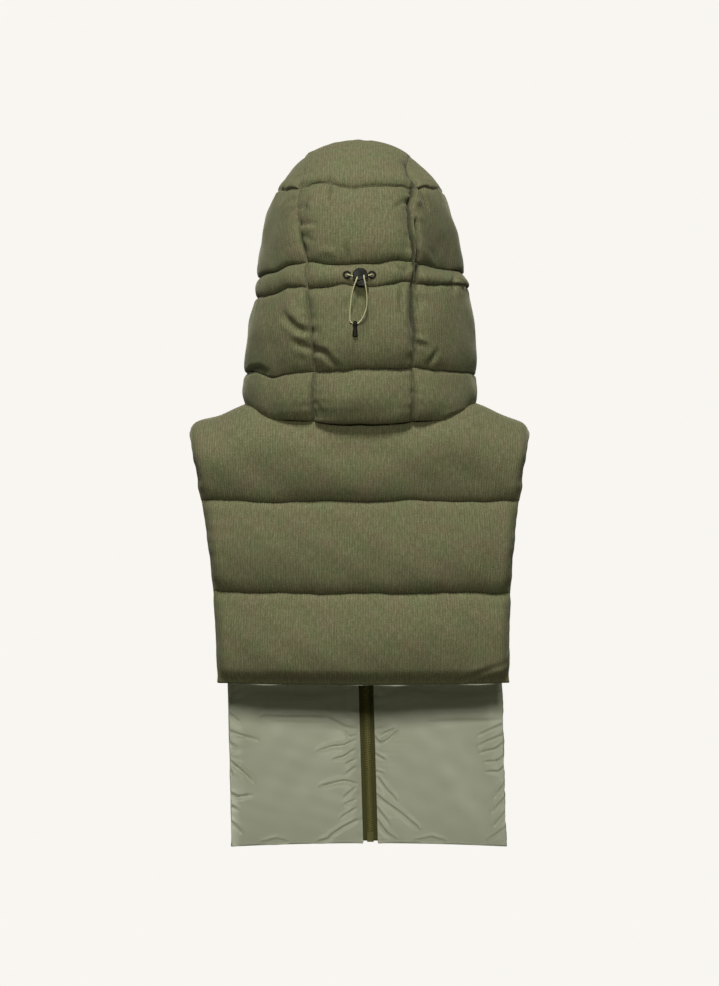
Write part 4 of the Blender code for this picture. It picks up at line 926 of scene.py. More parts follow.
def body_panel(front, sign, sizes):
    """One padded body panel with its baffles, puckers and turned edges, and its stitched rows."""
    grid, normals, share, baffle = body_grid(front, sign)
    rows = quilting_rows(baffle)
    seed = 11 if not front else 23 + sign
    wobble_lines(grid, share, baffle, (0,) * 4 if front else BACK_RISES, sizes.line_wobble, seed)
    # between its stitched lines an armhole's edge bulges a little, unevenly
    out = ramp(np.abs(grid[:, :, 0]) / 0.19, 0.75, 0.25) ** 2 * np.sign(grid[:, :, 0])
    held = np.zeros(len(share))
    for line in range(1, len(rows) + 1):
        gap = np.where(baffle == line, share, np.where(baffle == line - 1, 1 - share, 1))
        held = np.maximum(held, bell(gap, 0.07))
    up = grid[:, :, 2:] * (1, 1, 1)
    wave = 0.0010 * ripples(up, 0.045, seed + 31, 5) + 0.0005 * ripples(up, 0.016, seed + 32, 5)
    grid[:, :, 0] += out * (wave - 0.0016 * held[:, None] - 0.0004)
    panel = Panel(grid, normals, 0 if front else grid.shape[1] // 2)
    panel.ribs = grid[:, :, 0] + 0.70 * grid[:, :, 0] ** 3  # the ribs run straight down the cloth
    apart, _ = neck_distance(grid)
    armholes = [panel.column_distance(-1)] + ([] if front else [panel.column_distance(0)])
    edges = edge_swell(apart, NECK_CLEAR) * edge_swell(panel.row_distance(0), EDGE_REACH)
    for distance in armholes + ([panel.column_distance(0)] if front else []):
        edges = edges * edge_swell(distance, EDGE_REACH)
    full = swell(share)[:, None]
    loft = 1 + 0.10 * ripples(grid, 0.11, seed + 3) + 0.05 * ripples(grid, 0.045, seed + 4)
    ridge = edge_swell(panel.row_distance(-1), 0.07)
    line = LINE_LOFT * ridge
    raised = (line + (LOFT - line) * full) * (0.35 + 0.65 * ridge)
    behind = ramp(np.abs(grid[:, :, 1]), 0.070, 0.030)
    raised += np.maximum(0, NECK_FILL - raised) * bell(apart, 0.026) * behind
    panel.outer = BODY_PUFF[0] * raised * edges * loft * sizes.loft + SEAM_THICK / 2
    panel.inner = (BODY_PUFF[1] - 0.0012 * front) * full * edges + SEAM_THICK / 2
    quilt_puckers(panel, rows, sizes.pucker, seed)
    for row in rows:
        distance = panel.row_distance(row)
        panel.outer = groove(groove(panel.outer, distance), distance, *SHOULDER)
        # painted shade along each stitched line
        panel.paint_shade_beside(distance, ROW_SHADE)
        panel.hang_over(row, OVERHANG * sizes.loft)
    if not front:
        add_folds(panel, BACK_FOLDS, sizes.crease)
    for distance in armholes:
        fold = puckers(distance, panel.uv[:, :, 1], 0.016, 0.010, seed + 7)
        panel.outer += 0.6 * sizes.pucker * fold
        panel.turn_edge(distance)
    panel.turn_edge(panel.row_distance(0))
    if front:
        panel.turn_edge(panel.column_distance(0))
    return panel, rows


# ---------------------------------------------------------------- hood panels
def hood_wobble(points, share, line, sizes):
    """How far the hood's stitched lines wander, and how they tip down to the left."""
    place = np.stack([np.arctan2(points[..., 0], -points[..., 1]), points[..., 0]], axis=-1) * (0.12, 1)
    wave = ripples(place, 0.070, 70 + line, 5) + 0.4 * ripples(place, 0.026, 90 + line, 5)
    tip = 0.024 * np.clip(points[..., 0], -0.13, 0.13)
    return share * (sizes.line_wobble * wave + tip * np.exp(-np.maximum(0, points[..., 1] + 0.02) / 0.05))


def hood_baffles():
    """The hood's rows above the collar roll up to the crown line: baffle, share and puff."""
    rows = []
    for k, puff in ((1, HOOD_PUFF), (2, CHANNEL_PUFF), (3, HOOD_PUFF)):
        length = HOOD_LINES[k] - HOOD_LINES[k - 1]
        rows += [(k, s, puff) for s in shares_for(length)[1:]]
    return rows


SIDE_SLIM = {-1: 0.0065, 1: 0.0035}  # how much slimmer each side hangs than its cut
# How much slimmer still each side is near the crown. columns: height, inwards, in mm
CROWN_SLIM = {
    -1: ((180, 0), (230, 0), (255, 3), (268, 3.4), (280, 2), (295, 0)),
    1: ((150, 0), (165, 1), (205, 1.5), (230, 4), (255, 5), (268, 3.4), (280, 1), (295, 0)),
}
SIDE_SLUMP = {-1: 0.0, 1: 0.015}  # how far each side's upper baffle falls in beside the gusset
SIDE_SHADE = {-1: 0.0, 1: 0.42}  # how dark the painted shade on that baffle is
ROLL_SHARES = np.linspace(0, 1, 33)
# How far the foot of the collar roll is above a round one. columns: across, up, in mm
ROLL_FOOT = (
    (-135, -12), (-112, -20), (-85, -12), (-50, -6), (0, -5), (50, -6), (85, -13), (112, -23), (135, -14),
)
ROLL_PUSH = 0.0110  # how far the roll's foot stands out behind
CAP_SHARES = np.linspace(0, 1, 15)[1:]
# Where a side's upper baffle is. columns: height, share
UPPER_BAFFLE = ((0.10, 0), (0.148, 0), (0.167, 1), (0.182, 1), (0.255, 0), (0.40, 0))
# How much of the slump there is away from the gusset. columns: distance, share
SLUMP_REACH = ((0, 0), (0.02, 0.85), (0.04, 1), (0.10, 0))


def cap_puff(beyond):
    """The crown's puff, which is fuller just beyond the crown line."""
    return CROWN_PUFF[0] * (0.20 + 0.95 * bell(beyond, 0.022)), CROWN_PUFF[1]


def wobble_hood(grid, baffles, shares, sizes):
    """Lets the hood's stitched lines run as the worn hood shows them, and squares the collar roll's foot."""
    baffles, shares = np.array(baffles), np.array(shares)
    behind = np.clip(0.7 - grid[:, :, 1] / 0.06, 0, 1)
    across = grid[:, :, 0] * 1000
    roll = baffles == 0
    for line, course in enumerate(HOOD_COURSES, 1):
        near = np.where(baffles == line, (1 - shares) ** 2.4, np.where(baffles == line - 1, shares**2.4, 0))
        grid[:, :, 2] += hood_wobble(grid, near[:, None], line, sizes)
        grid[:, :, 2] += near[:, None] * behind * eased(course, across) / 1000
    foot = np.where(roll, ramp(shares, 0, 0.10) * (1 - shares) ** 1.6, 0)
    drop = foot[:, None] * behind * eased(ROLL_FOOT, across) / 1000
    grid[:, :, 2] += drop
    grid[:, :, 1] += 0.6 * np.minimum(0, drop)
    push = np.where(roll, ramp(shares, 0, 0.05) * bell(shares, 0.20), 0)
    grid[:, :, 1] -= ROLL_PUSH * push[:, None] * behind * ramp(-np.abs(grid[:, :, 0]), -0.128, 0.03)


def hood_offsets(panel, full, puffs, edges, sizes, seed):
    """Swells a hood panel's baffles, less beside its seams and over the crown."""
    loft = 1 + 0.10 * ripples(panel.grid, 0.09, seed) + 0.06 * ripples(panel.grid, 0.035, seed + 1)
    full, puffs = np.array(full)[:, None], np.array(puffs)
    x, z = panel.grid[:, :, 0], panel.grid[:, :, 2]
    away = ramp(np.abs(x - 0.003), 0.021, 0.012)
    tunnel = TUNNEL_LOFT[0] + (TUNNEL_LOFT[1] - TUNNEL_LOFT[0]) * away
    top = np.where(puffs[:, :1] == CHANNEL_PUFF[0], tunnel, HOOD_LOFT)
    # towards the sides and over the crown the cloth is drawn less deep at its seams
    line = LINE_LOFT + (0.35 + 0.45 * ramp(z, 0.165, 0.02)) * ramp(np.abs(x), 0.07, 0.03)
    line = np.maximum(line, 0.9 * ramp(z, 0.268, 0.015))
    raised = line + (top - line) * full
    held = 0.5 - 0.38 * ramp(z, 0.235, 0.03)
    panel.outer = puffs[:, :1] * raised * (1 - held * (1 - edges)) * loft * sizes.loft + SEAM_THICK / 2
    panel.inner = puffs[:, 1:] * full * edges + SEAM_THICK / 2


def hood_gusset(sizes):
    """The hood's back gusset, from the neck seam over the crown to the forehead."""
    lines, corner, crown = hood_stops()
    high, high_out = gusset_points(GUSSET_SHARES, lines[0])
    starts = []
    for s in GUSSET_SHARES:
        angle = math.degrees(math.asin(abs(s) * GUSSET_WIDTHS[0][1] / NECK_HALF_WIDTH))
        point, out = neck_seam(angle)
        flip = (math.copysign(1, s), 1, 1)
        starts.append((point * flip, out * flip))
    low, low_out = (np.array(v) for v in zip(*starts))
    made = [
        (*roll_row(low, low_out, high, high_out, r, 0), swell(r), HOOD_PUFF, 0, r) for r in ROLL_SHARES
    ]
    for k, s, puff in hood_baffles():
        row = gusset_points(GUSSET_SHARES, lines[k - 1] + (lines[k] - lines[k - 1]) * s)
        made.append((*row, swell(s), puff, k, s))
    cap = np.concatenate([
        lines[3] + (corner - lines[3]) * CAP_SHARES,
        corner + (FOREHEAD_ALONG - corner) * shares_for(FOREHEAD_ALONG - corner, (False, True))[1:],
    ])
    for along in cap:
        first, last = (lines[3], crown) if along < crown else (crown, FOREHEAD_ALONG)
        s = (along - first) / (last - first)
        row = gusset_points(GUSSET_SHARES, along)
        made.append((*row, swell(s), cap_puff(along - lines[3]), 4 if along < crown else 5, s))
    grid, normals, full, puffs, baffles, shares = (list(v) for v in zip(*made))
    grid = np.array(grid)
    wobble_hood(grid, baffles, shares, sizes)
    for sign, drift in SEAM_DRIFTS.items():
        pull = np.clip(GUSSET_SHARES * sign, 0, 1) ** 3
        grid[:, :, 0] += pull * eased(drift, grid[:, :, 2] * 1000) / 1000
    panel = Panel(grid, normals, len(GUSSET_SHARES) // 2)
    seams = np.minimum(panel.column_distance(0), panel.column_distance(-1))
    hood_offsets(panel, full, puffs, edge_swell(seams, SEAM_REACH), sizes, 131)
    rows = finish_hood_panel(panel, baffles, (0, -1), 137, sizes)
    panel.turn_edge(panel.row_distance(-1))
    return panel, rows


def finish_hood_panel(panel, baffles, seam_columns, seed, sizes):
    """Grooves, puckers and folds of a hood panel, with painted shade beside its stitches and seams. Gives
    back its stitched rows.
    """
    rows = quilting_rows(baffles)
    x, z = panel.grid[:, :, 0], panel.grid[:, :, 2]
    high = ramp(z, 0.165, 0.02)
    side = np.clip((np.abs(x) - 0.07 + 0.02 * high) / (0.04 - 0.01 * high), 0, 1)
    for line, row in enumerate(rows, 1):
        distance = panel.row_distance(row)
        fold = puckers(distance, panel.uv[:, :, 0], 0.013, 0.010, seed + 10 * line)
        folded = panel.outer + sizes.pucker * fold * np.clip(distance / 0.003, 0, 1)
        panel.outer = groove(folded, distance, depth=0.85 - (0.4 + 0.25 * high) * side)
        panel.outer = groove(panel.outer, distance, SHOULDER[0], 0.75 * SHOULDER[1] * (1 - side))
        # painted shade beside the stitched lines, lighter towards the sides
        panel.paint_shade_beside(distance, 0.35 - 0.15 * side)
        panel.hang_over(row, 0.8 * OVERHANG * sizes.loft * (1 - (0.6 + 0.3 * high) * side))
    for column in seam_columns:
        distance = panel.column_distance(column)
        fold = puckers(distance, panel.uv[:, :, 1], 0.015, 0.013, seed + 3 + abs(column))
        folded = panel.outer + 1.3 * sizes.pucker * fold * np.clip(distance / 0.003, 0, 1)
        panel.outer = groove(folded, distance, depth=0.85 - 0.62 * ramp(z, 0.262, 0.02))
        # painted shade beside the seams, darker on the +x side above the collar line
        panel.paint_shade_beside(distance, 0.25 + 0.55 * (ramp(x, 0, 0.03) * ramp(z, 0.04, 0.06)))
    panel.outer = groove(panel.outer, panel.row_distance(0), 0.012, low=SEAM_THICK / 2)
    add_folds(panel, HOOD_FOLDS, sizes.crease)
    return rows


def hood_side(sign, sizes):
    """One side of the hood, from the gusset to the zip and the face opening."""
    lines, corner, _ = hood_stops()
    made = []
    for k, s, puff in [(1, 0.0, HOOD_PUFF)] + hood_baffles():
        start = gusset_points(1, lines[k - 1] + (lines[k] - lines[k - 1]) * s)[0][0]
        z_front = HOOD_LINES[k - 1] + (HOOD_LINES[k] - HOOD_LINES[k - 1]) * s
        line = side_line(start, (float(eased(FACE_EDGE, z_front)), z_front))
        end = np.array((ZIP_EDGE, *line[-1])) if k == 1 and s == 0 else None
        made.append((*side_row(start, line, end, SIDE_SHARES), swell(s), puff, k, s))
    seam = np.array([gusset_points(1, a)[0][0, 1:] for a in np.linspace(corner, FOREHEAD_ALONG, 60)])
    start = gusset_points(1, lines[3])[0][0]
    base = side_line(start, (float(eased(FACE_EDGE, HOOD_LINES[3])), HOOD_LINES[3]))
    base = at_shares(base, np.linspace(0, 1, 60))
    for r in CAP_SHARES:
        start = gusset_points(1, lines[3] + (corner - lines[3]) * r)[0][0]
        line = base + (seam - base) * r
        line = line + np.outer(np.linspace(1, 0, 60) ** 2, start[1:] - line[0])
        points, outs = side_row(start, line, None, SIDE_SHARES)
        if r == 1:
            top = [gusset_points(1, corner + (FOREHEAD_ALONG - corner) * s) for s in SIDE_SHARES]
            points = np.array([p[0] for p, _ in top])
            outs = np.array([n[0] for _, n in top])
        made.append((points, outs, swell(r), cap_puff((corner - lines[3]) * r), 4, r))
    collar, collar_out = made[0][:2]
    seams = [neck_seam(float(a)) for a in SIDE_ANGLES]
    low, low_out = np.array([p for p, _ in seams]), np.array([n for _, n in seams])
    roll = [
        (*roll_row(low, low_out, collar, collar_out, r, SIDE_ANGLES), swell(r), HOOD_PUFF, 0, r)
        for r in ROLL_SHARES[:-1]
    ]
    grid, normals, full, puffs, baffles, shares = (list(v) for v in zip(*(roll + made)))
    baffles[len(roll)], shares[len(roll)] = 0, 1.0
    flip = (sign, 1, 1)
    grid = np.array(grid) * flip
    wobble_hood(grid, baffles, shares, sizes)
    place = cloth_uv(grid, 0)
    away = np.minimum(place[:, :, 0], np.abs(place[:, :, 1] - place[-1, :, 1]))
    drift = eased(SEAM_DRIFTS[sign], grid[:, :, 2] * 1000) / 1000
    grid[:, :, 0] += drift * np.clip(1 - away / 0.05, 0, 1) ** 2
    slim = ramp(away, 0, 0.05) * ramp(-grid[:, :, 2], -0.30, 0.05)
    # but its neck seam and its zip edge stay on the body's
    part, share = np.array(baffles), np.array(shares)
    low = np.where(part == 0, 1, np.where(part == 1, 1 - share, 0))
    foot = np.where(part == 0, np.clip(1 - share / 0.4, 0, 1), 0)
    zip_edge = np.clip(1 - np.abs(place[:, :, 0] - place[:, -1:, 0]) / 0.05, 0, 1)
    slim *= 1 - np.maximum(low[:, None] * zip_edge, foot[:, None] * ramp(grid[:, :, 1], 0, 0.05))
    high = eased(CROWN_SLIM[sign], grid[:, :, 2] * 1000) / 1000
    grid[:, :, 0] -= sign * (SIDE_SLIM[sign] * slim + high * ramp(away, 0, 0.03))
    height = eased(UPPER_BAFFLE, grid[:, :, 2])
    grid[:, :, 1] += SIDE_SLUMP[sign] * height * eased(SLUMP_REACH, np.minimum(away, 0.10))
    panel = Panel(grid, np.array(normals) * flip, 0)
    gusset_edge, front_edge = (edge_swell(panel.column_distance(k), SEAM_REACH) for k in (0, -1))
    edges = gusset_edge * front_edge
    hood_offsets(panel, full, puffs, edges, sizes, 151 + sign)
    # painted shade over the upper baffle beside the gusset, on the right side only
    panel.paint_shade(SIDE_SHADE[sign] * height * ramp(away, 0, 0.02))
    rows = finish_hood_panel(panel, baffles, (0,), 157 + 4 * sign, sizes)
    panel.outer = groove(panel.outer, panel.row_distance(-1), depth=0.2)
    # only the face opening has a turned edge, not the zip below it or the top seam
    edge = panel.column_distance(-1)
    edge[part == 0] = 1
    edge[-1] = 1
    panel.turn_edge(edge)
    return panel, rows


# ---------------------------------------------------------------- linings
def lining_panel(front, sign, sizes):
    """A thin lining that hangs inside a body panel, sewn to it at its edges."""
    grid, normals, share, _ = body_grid(front, sign, LINING_STEP if front else CLOTH_STEP)
    if front:
        grid[:, 0, 0] += sign * (LINING_EDGE - ZIP_EDGE)
    panel = Panel(grid, normals, 0 if front else grid.shape[1] // 2)
    sides = np.minimum(panel.column_distance(0), panel.column_distance(-1))
    top = panel.row_distance(-1)
    loose = edge_swell(sides, EDGE_REACH) * edge_swell(top, 0.03) * edge_swell(panel.row_distance(0), 0.05)
    behind = np.maximum(SEAM_THICK / 2, BODY_PUFF[1] * loose + SEAM_THICK / 2)
    gap = LINING_GAP[0] + (LINING_GAP[1] - LINING_GAP[0]) * loose
    near = behind + gap + LINING_THICK
    seed = 201 if not front else 211 + 3 * sign
    near += 0.0011 * loose * ripples(grid, 0.075, seed) + 0.0004 * loose * ripples(grid, 0.028, seed + 1)
    for column, spacing, amount in ((0, 0.011, 1.0), (-1, 0.017, 1.2)) if front else ():
        distance = panel.column_distance(column)
        fold = puckers(distance, panel.uv[:, :, 1], spacing, 0.011, seed + 5 + abs(column))
        near += amount * sizes.pucker * fold * np.clip(distance / 0.0025, 0, 1)
    hem = panel.row_distance(0)
    near += 0.9 * sizes.pucker * puckers(hem, panel.uv[:, :, 0], 0.026, 0.012, seed + 9)
    folds = LEFT_LINING_FOLDS if sign < 0 else RIGHT_LINING_FOLDS
    if front:
        inside = grid - normals * near[:, :, None]
        near += crease_field(inside, folds, LINING_OVERHANG) * sizes.crease
    shell = (BODY_PUFF[1] - 0.0012) * swell(share)[:, None] * edge_swell(sides, EDGE_REACH)
    near = np.maximum(near, SEAM_THICK / 2 + 0.0007 + shell)
    drop = 0.0010 if front else -0.0008
    grid = panel.grid
    wave = ripples(panel.uv[:1, :, :1] * (1, 1), 0.055, seed + 12, 5)
    fade = np.exp(-hem / 0.006)
    grid[:, :, 2] += fade * (drop + 0.0009 * wave)
    panel.inner = near
    panel.outer = -(near - 0.0009)
    return panel


# ---------------------------------------------------------------- materials
WAVE = math.pi / 10  # the Wave Texture's scale that gives one band for each unit


def add_node(tree, kind, inputs=None, **settings):
    """Adds a node with its settings. An input's value is a number, a colour or another node's output."""
    node = tree.nodes.new(kind)
    for key, value in settings.items():
        setattr(node, key, value)
    for key, value in (inputs or {}).items():
        if isinstance(value, bpy.types.NodeSocket):
            tree.links.new(value, node.inputs[key])
        else:
            node.inputs[key].default_value = value
    return node


def new_material(name, colour, roughness, metallic=0.0, **more):
    """A material and its Principled shader, with what is the same all over set on the shader's own
    sockets. A further socket is named with _ for its spaces."""
    made = bpy.data.materials.new(name)
    made.use_nodes = True
    tree = made.node_tree
    shader = tree.nodes["Principled BSDF"]
    shader.inputs["Base Color"].default_value = (*colour, 1)
    shader.inputs["Roughness"].default_value = roughness
    shader.inputs["Metallic"].default_value = metallic
    for key, value in more.items():
        shader.inputs[key.replace("_", " ")].default_value = value
    made.diffuse_color = (*colour, 1)
    return made, tree, shader


def mix_colour(tree, share, first, second):
    """A colour that runs from a first one to a second."""
    return add_node(tree, "ShaderNodeMix", {0: share, 6: first, 7: second}, data_type="RGBA").outputs[2]


def set_tones(tree, shader, share, first, second):
    """Runs a shader's base colour from a first tone to a second."""
    tree.links.new(mix_colour(tree, share, (*first, 1), (*second, 1)), shader.inputs["Base Color"])


def noise(tree, place, scale, detail, roughness=0.5, output="Fac"):
    """Smooth unevenness, with this many bumps to a unit."""
    values = {"Vector": place, "Scale": scale, "Detail": detail, "Roughness": roughness}
    return add_node(tree, "ShaderNodeTexNoise", values).outputs[output]


def bands(tree, place, axis="X", scale=WAVE):
    """Even bands across one direction."""
    values = {"Vector": place, "Scale": scale}
    return add_node(tree, "ShaderNodeTexWave", values, bands_direction=axis).outputs["Fac"]


def ranged(tree, value, start=0.0, end=1.0, low=0.0, high=1.0):
    """What a value comes to when start to end is spread over low to high."""
    values = {"Value": value, "From Min": start, "From Max": end, "To Min": low, "To Max": high}
    return add_node(tree, "ShaderNodeMapRange", values).outputs[0]


def maths(tree, way, *values):
    """One step of arithmetic on values."""
    return add_node(tree, "ShaderNodeMath", dict(enumerate(values)), operation=way).outputs[0]


def vector_maths(tree, way, *values):
    """One step of arithmetic on vectors or colours."""
    return add_node(tree, "ShaderNodeVectorMath", dict(enumerate(values)), operation=way).outputs[0]


def set_bump(tree, shader, height, strength, distance, **more):
    """Gives a shader's surface fine relief."""
    values = {"Height": height, "Strength": strength, "Distance": distance, **more}
    bump = add_node(tree, "ShaderNodeBump", values)
    tree.links.new(bump.outputs["Normal"], shader.inputs["Normal"])


def stretched(tree, place, scale):
    """A place stretched along its axes."""
    return add_node(tree, "ShaderNodeMapping", {"Vector": place, "Scale": scale}).outputs["Vector"]


def cloth_place(tree, across, along):
    """The cloth's own UV map in metres, scaled so that one unit is one repeat."""
    place = add_node(tree, "ShaderNodeUVMap", uv_map="cloth")
    return stretched(tree, place.outputs["UV"], (1 / across, 1 / along, 1))


def needlecord(name, colours, sizes):
    """Cotton needlecord: cut pile in fine upright ribs. The pile is matt, glows softly at the edges of a
    form, and lies in brownish and greenish patches where it was stroked."""
    sheen = {"Sheen_Weight": 0.30, "Sheen_Roughness": 0.45, "Sheen_Tint": (*colours.cord_pile, 1)}
    made, tree, shader = new_material(name, colours.cord, 0.92, Specular_IOR_Level=0.15, **sheen)
    # a real rib is about 1.2 mm wide; it is drawn as wide as it needs to show
    place = cloth_place(tree, sizes.rib, sizes.rib)
    drift = noise(tree, place, 0.12, 2.0, output="Color")
    shift = vector_maths(tree, "MULTIPLY", drift, (1.2, 0.0, 0.0))
    rib = bands(tree, vector_maths(tree, "ADD", place, shift))
    streak = noise(tree, stretched(tree, place, (1.0, 0.30, 1.0)), 1.1, 3.0, 0.65)
    fibre = noise(tree, place, 1.9, 3.0, 0.75)
    # patches of leaning pile, some 20 to 60 mm across
    hue = ranged(tree, noise(tree, place, 0.10, 3.0, 0.6), 0.38, 0.62)
    base = mix_colour(tree, hue, (*colours.cord, 1), (*colours.cord_brown, 1))
    piled = mix_colour(tree, ranged(tree, streak, 0.40, 0.72, high=0.75), base, (*colours.cord_light, 1))
    between = ranged(tree, rib, end=0.8, low=0.30, high=0.0)
    ribbed = mix_colour(tree, between, piled, (*colours.cord_shade, 1))
    flecked = vector_maths(tree, "MULTIPLY", ribbed, ranged(tree, fibre, 0.3, 0.7, 0.64, 1.36))
    # painted shade: the colour is darkened, to as little as 0.12 of itself, beside stitches, down in folds
    # and on one hood panel
    painted_shade = add_node(tree, "ShaderNodeAttribute", attribute_name="painted_shade").outputs["Fac"]
    final = vector_maths(tree, "MULTIPLY", flecked, ranged(tree, painted_shade, low=1.0, high=0.12))
    tree.links.new(final, shader.inputs["Base Color"])
    pile = maths(tree, "MULTIPLY_ADD", fibre, 0.6, maths(tree, "MULTIPLY", rib, 0.5))
    set_bump(tree, shader, pile, 0.5, 0.0007)
    return made


def lining_nylon(name, colours):
    """Plain-woven nylon taffeta: smooth, with a low sheen that shows every small fold."""
    made, tree, shader = new_material(name, colours.lining, 0.46, Specular_IOR_Level=0.4, Sheen_Weight=0.15)
    place = cloth_place(tree, 0.0006, 0.0006)  # a real thread is about 0.15 mm
    weave = maths(tree, "MAXIMUM", bands(tree, place), bands(tree, place, "Y"))
    wide = cloth_place(tree, 0.001, 0.001)
    crush = noise(tree, wide, 0.05, 5.0, 0.6)
    share = ranged(tree, noise(tree, wide, 0.012, 2.0), 0.35, 0.7)
    set_tones(tree, shader, share, colours.lining, colours.lining_warm)
    low = add_node(tree, "ShaderNodeBump", {"Height": crush, "Strength": 0.25, "Distance": 0.0012})
    set_bump(tree, shader, weave, 0.12, 0.0001, Normal=low.outputs["Normal"])
    return made


def zip_tape_weave(name, colours):
    """Woven polyester tape: a herringbone twill whose ribs change their slant every 1.5 mm."""
    made, tree, shader = new_material(name, colours.tape, 0.75, Specular_IOR_Level=0.3, Sheen_Weight=0.1)
    parts = add_node(tree, "ShaderNodeSeparateXYZ", {0: cloth_place(tree, 0.0015, 0.0015)}).outputs
    slant = maths(tree, "ADD", maths(tree, "PINGPONG", parts[0], 1.0), parts[1])
    rib = bands(tree, add_node(tree, "ShaderNodeCombineXYZ", {0: slant}).outputs[0], scale=2 * WAVE)
    dark = tuple(0.45 * c for c in colours.tape)
    set_tones(tree, shader, ranged(tree, rib, low=0.1, high=0.8), dark, colours.tape)
    set_bump(tree, shader, rib, 0.5, 0.0002)
    return made


def moulded_plastic(name, colour, roughness, shine=0.5, grain=0.0004):
    """Injection-moulded acetal: a satin skin from the spark-eroded mould, a little shinier where hands
    have rubbed it."""
    made, tree, shader = new_material(name, colour, roughness, IOR=1.48, Specular_IOR_Level=shine)
    place = add_node(tree, "ShaderNodeTexCoord").outputs["Object"]
    rubbed = noise(tree, place, 180.0, 3.0, 0.6)
    rough = ranged(tree, rubbed, 0.35, 0.65, roughness * 0.75, roughness * 1.2)
    tree.links.new(rough, shader.inputs["Roughness"])
    set_tones(tree, shader, rubbed, colour, tuple(min(1.0, 1.35 * c + 0.004) for c in colour))
    set_bump(tree, shader, noise(tree, place, 1 / grain, 2.0), 0.25, 0.00005)
    return made


def plated_zinc(name, colour):
    """Die-cast zinc, tumbled and plated in dark nickel: smooth, with soft dents and fine rubbed marks."""
    made, tree, shader = new_material(name, colour, 0.30, 1.0)
    place = add_node(tree, "ShaderNodeTexCoord").outputs["Object"]
    dent = noise(tree, place, 420.0, 2.0)
    mark = noise(tree, stretched(tree, place, (1.0, 1.0, 0.08)), 5000.0, 2.0)
    tree.links.new(ranged(tree, mark, low=0.22, high=0.42), shader.inputs["Roughness"])
    worn = tuple(min(1.0, 1.8 * c) for c in colour)
    set_tones(tree, shader, ranged(tree, dent, 0.5, 0.75), colour, worn)
    set_bump(tree, shader, dent, 0.15, 0.0001)
    return made


def braided_elastic(name, colours):
    """Elastic cord: a rubber core in a braid of sixteen polyester strands, eight each way round."""
    made, tree, shader = new_material(name, colours.elastic, 0.60, Sheen_Weight=0.2)
    place = add_node(tree, "ShaderNodeUVMap", uv_map="cloth").outputs["UV"]
    parts = add_node(tree, "ShaderNodeSeparateXYZ", {0: place}).outputs
    around = maths(tree, "MULTIPLY", parts[0], 8.0)
    along = maths(tree, "MULTIPLY", parts[1], 1 / 0.0009)
    strands = [
        bands(tree, add_node(tree, "ShaderNodeCombineXYZ", {0: maths(tree, way, around, along)}).outputs[0])
        for way in ("ADD", "SUBTRACT")
    ]
    top = maths(tree, "MAXIMUM", *strands)
    set_tones(tree, shader, ranged(tree, top, 0.3, 0.8), colours.elastic_shade, colours.elastic)
    set_bump(tree, shader, top, 0.6, 0.0002)
    return made


def sewing_thread(name, colour):
    """Spun polyester sewing thread: matt, twisted from two plies."""
    made, tree, shader = new_material(name, colour, 0.7, Sheen_Weight=0.2)
    place = add_node(tree, "ShaderNodeTexCoord").outputs["Object"]
    ply = noise(tree, place, 2500.0, 1.0)
    set_tones(tree, shader, ply, colour, tuple(min(1.0, 1.6 * c) for c in colour))
    set_bump(tree, shader, ply, 0.4, 0.0001)
    return made


def thread_materials(colours):
    """The shell's dark thread and the linings' pale one, made once and shared."""
    return tuple(
        bpy.data.materials.get(name) or sewing_thread(name, colour)
        for name, colour in (("polyester_thread", colours.thread), ("pale_polyester_thread", colours.lining))
    )


def cloth_materials(sizes, colours):
    """The shell and lining materials, made once and shared."""
    shell = bpy.data.materials.get("cotton_needlecord") or needlecord("cotton_needlecord", colours, sizes)
    inside = bpy.data.materials.get("nylon_taffeta") or lining_nylon("nylon_taffeta", colours)
    return shell, inside


# ---------------------------------------------------------------- the garment's collection
def garment_collection():
    """The collection that the garment's pieces are in."""
    made = bpy.data.collections.get("padded_hooded_bib")
    if made is None:
        made = bpy.data.collections.new("padded_hooded_bib")
        bpy.context.scene.collection.children.link(made)
    return made


def row_tree(name, shape):
    """Geometry nodes that set one small piece after another along a path. The pieces' Z runs up the
    path and their Y out of it, and the shape function makes the piece from the tree's sizes."""
    tree = bpy.data.node_groups.get(name)
    if tree:
        return tree
    tree = bpy.data.node_groups.new(name, "GeometryNodeTree")
    tree.interface.new_socket("Path", in_out="INPUT", socket_type="NodeSocketGeometry")
    for label in ("Pitch", "Length", "Width", "Height"):
        tree.interface.new_socket(label, in_out="INPUT", socket_type="NodeSocketFloat").subtype = "DISTANCE"
    tree.interface.new_socket("Material", in_out="INPUT", socket_type="NodeSocketMaterial")
    tree.interface.new_socket("Row", in_out="OUTPUT", socket_type="NodeSocketGeometry")
    given = add_node(tree, "NodeGroupInput").outputs
    curve = add_node(tree, "GeometryNodeMeshToCurve", {"Mesh": given["Path"]})
    places = add_node(
        tree,
        "GeometryNodeCurveToPoints",
        {"Curve": curve.outputs[0], "Length": given["Pitch"]},
        mode="LENGTH",
    )
    out = add_node(tree, "GeometryNodeInputNamedAttribute", {"Name": "out"}, data_type="FLOAT_VECTOR")
    up = add_node(tree, "FunctionNodeAlignRotationToVector", {"Vector": places.outputs["Tangent"]}, axis="Z")
    turn = add_node(
        tree,
        "FunctionNodeAlignRotationToVector",
        {"Rotation": up.outputs[0], "Vector": out.outputs[0]},
        axis="Y",
        pivot_axis="Z",
    )
    copies = add_node(
        tree,
        "GeometryNodeInstanceOnPoints",
        {"Points": places.outputs["Points"], "Instance": shape(tree, given), "Rotation": turn.outputs[0]},
    )
    real = add_node(tree, "GeometryNodeRealizeInstances", {"Geometry": copies.outputs[0]})
    painted = add_node(
        tree, "GeometryNodeSetMaterial", {"Geometry": real.outputs[0], "Material": given["Material"]}
    )
    add_node(tree, "NodeGroupOutput", {"Row": painted.outputs[0]})
    return tree


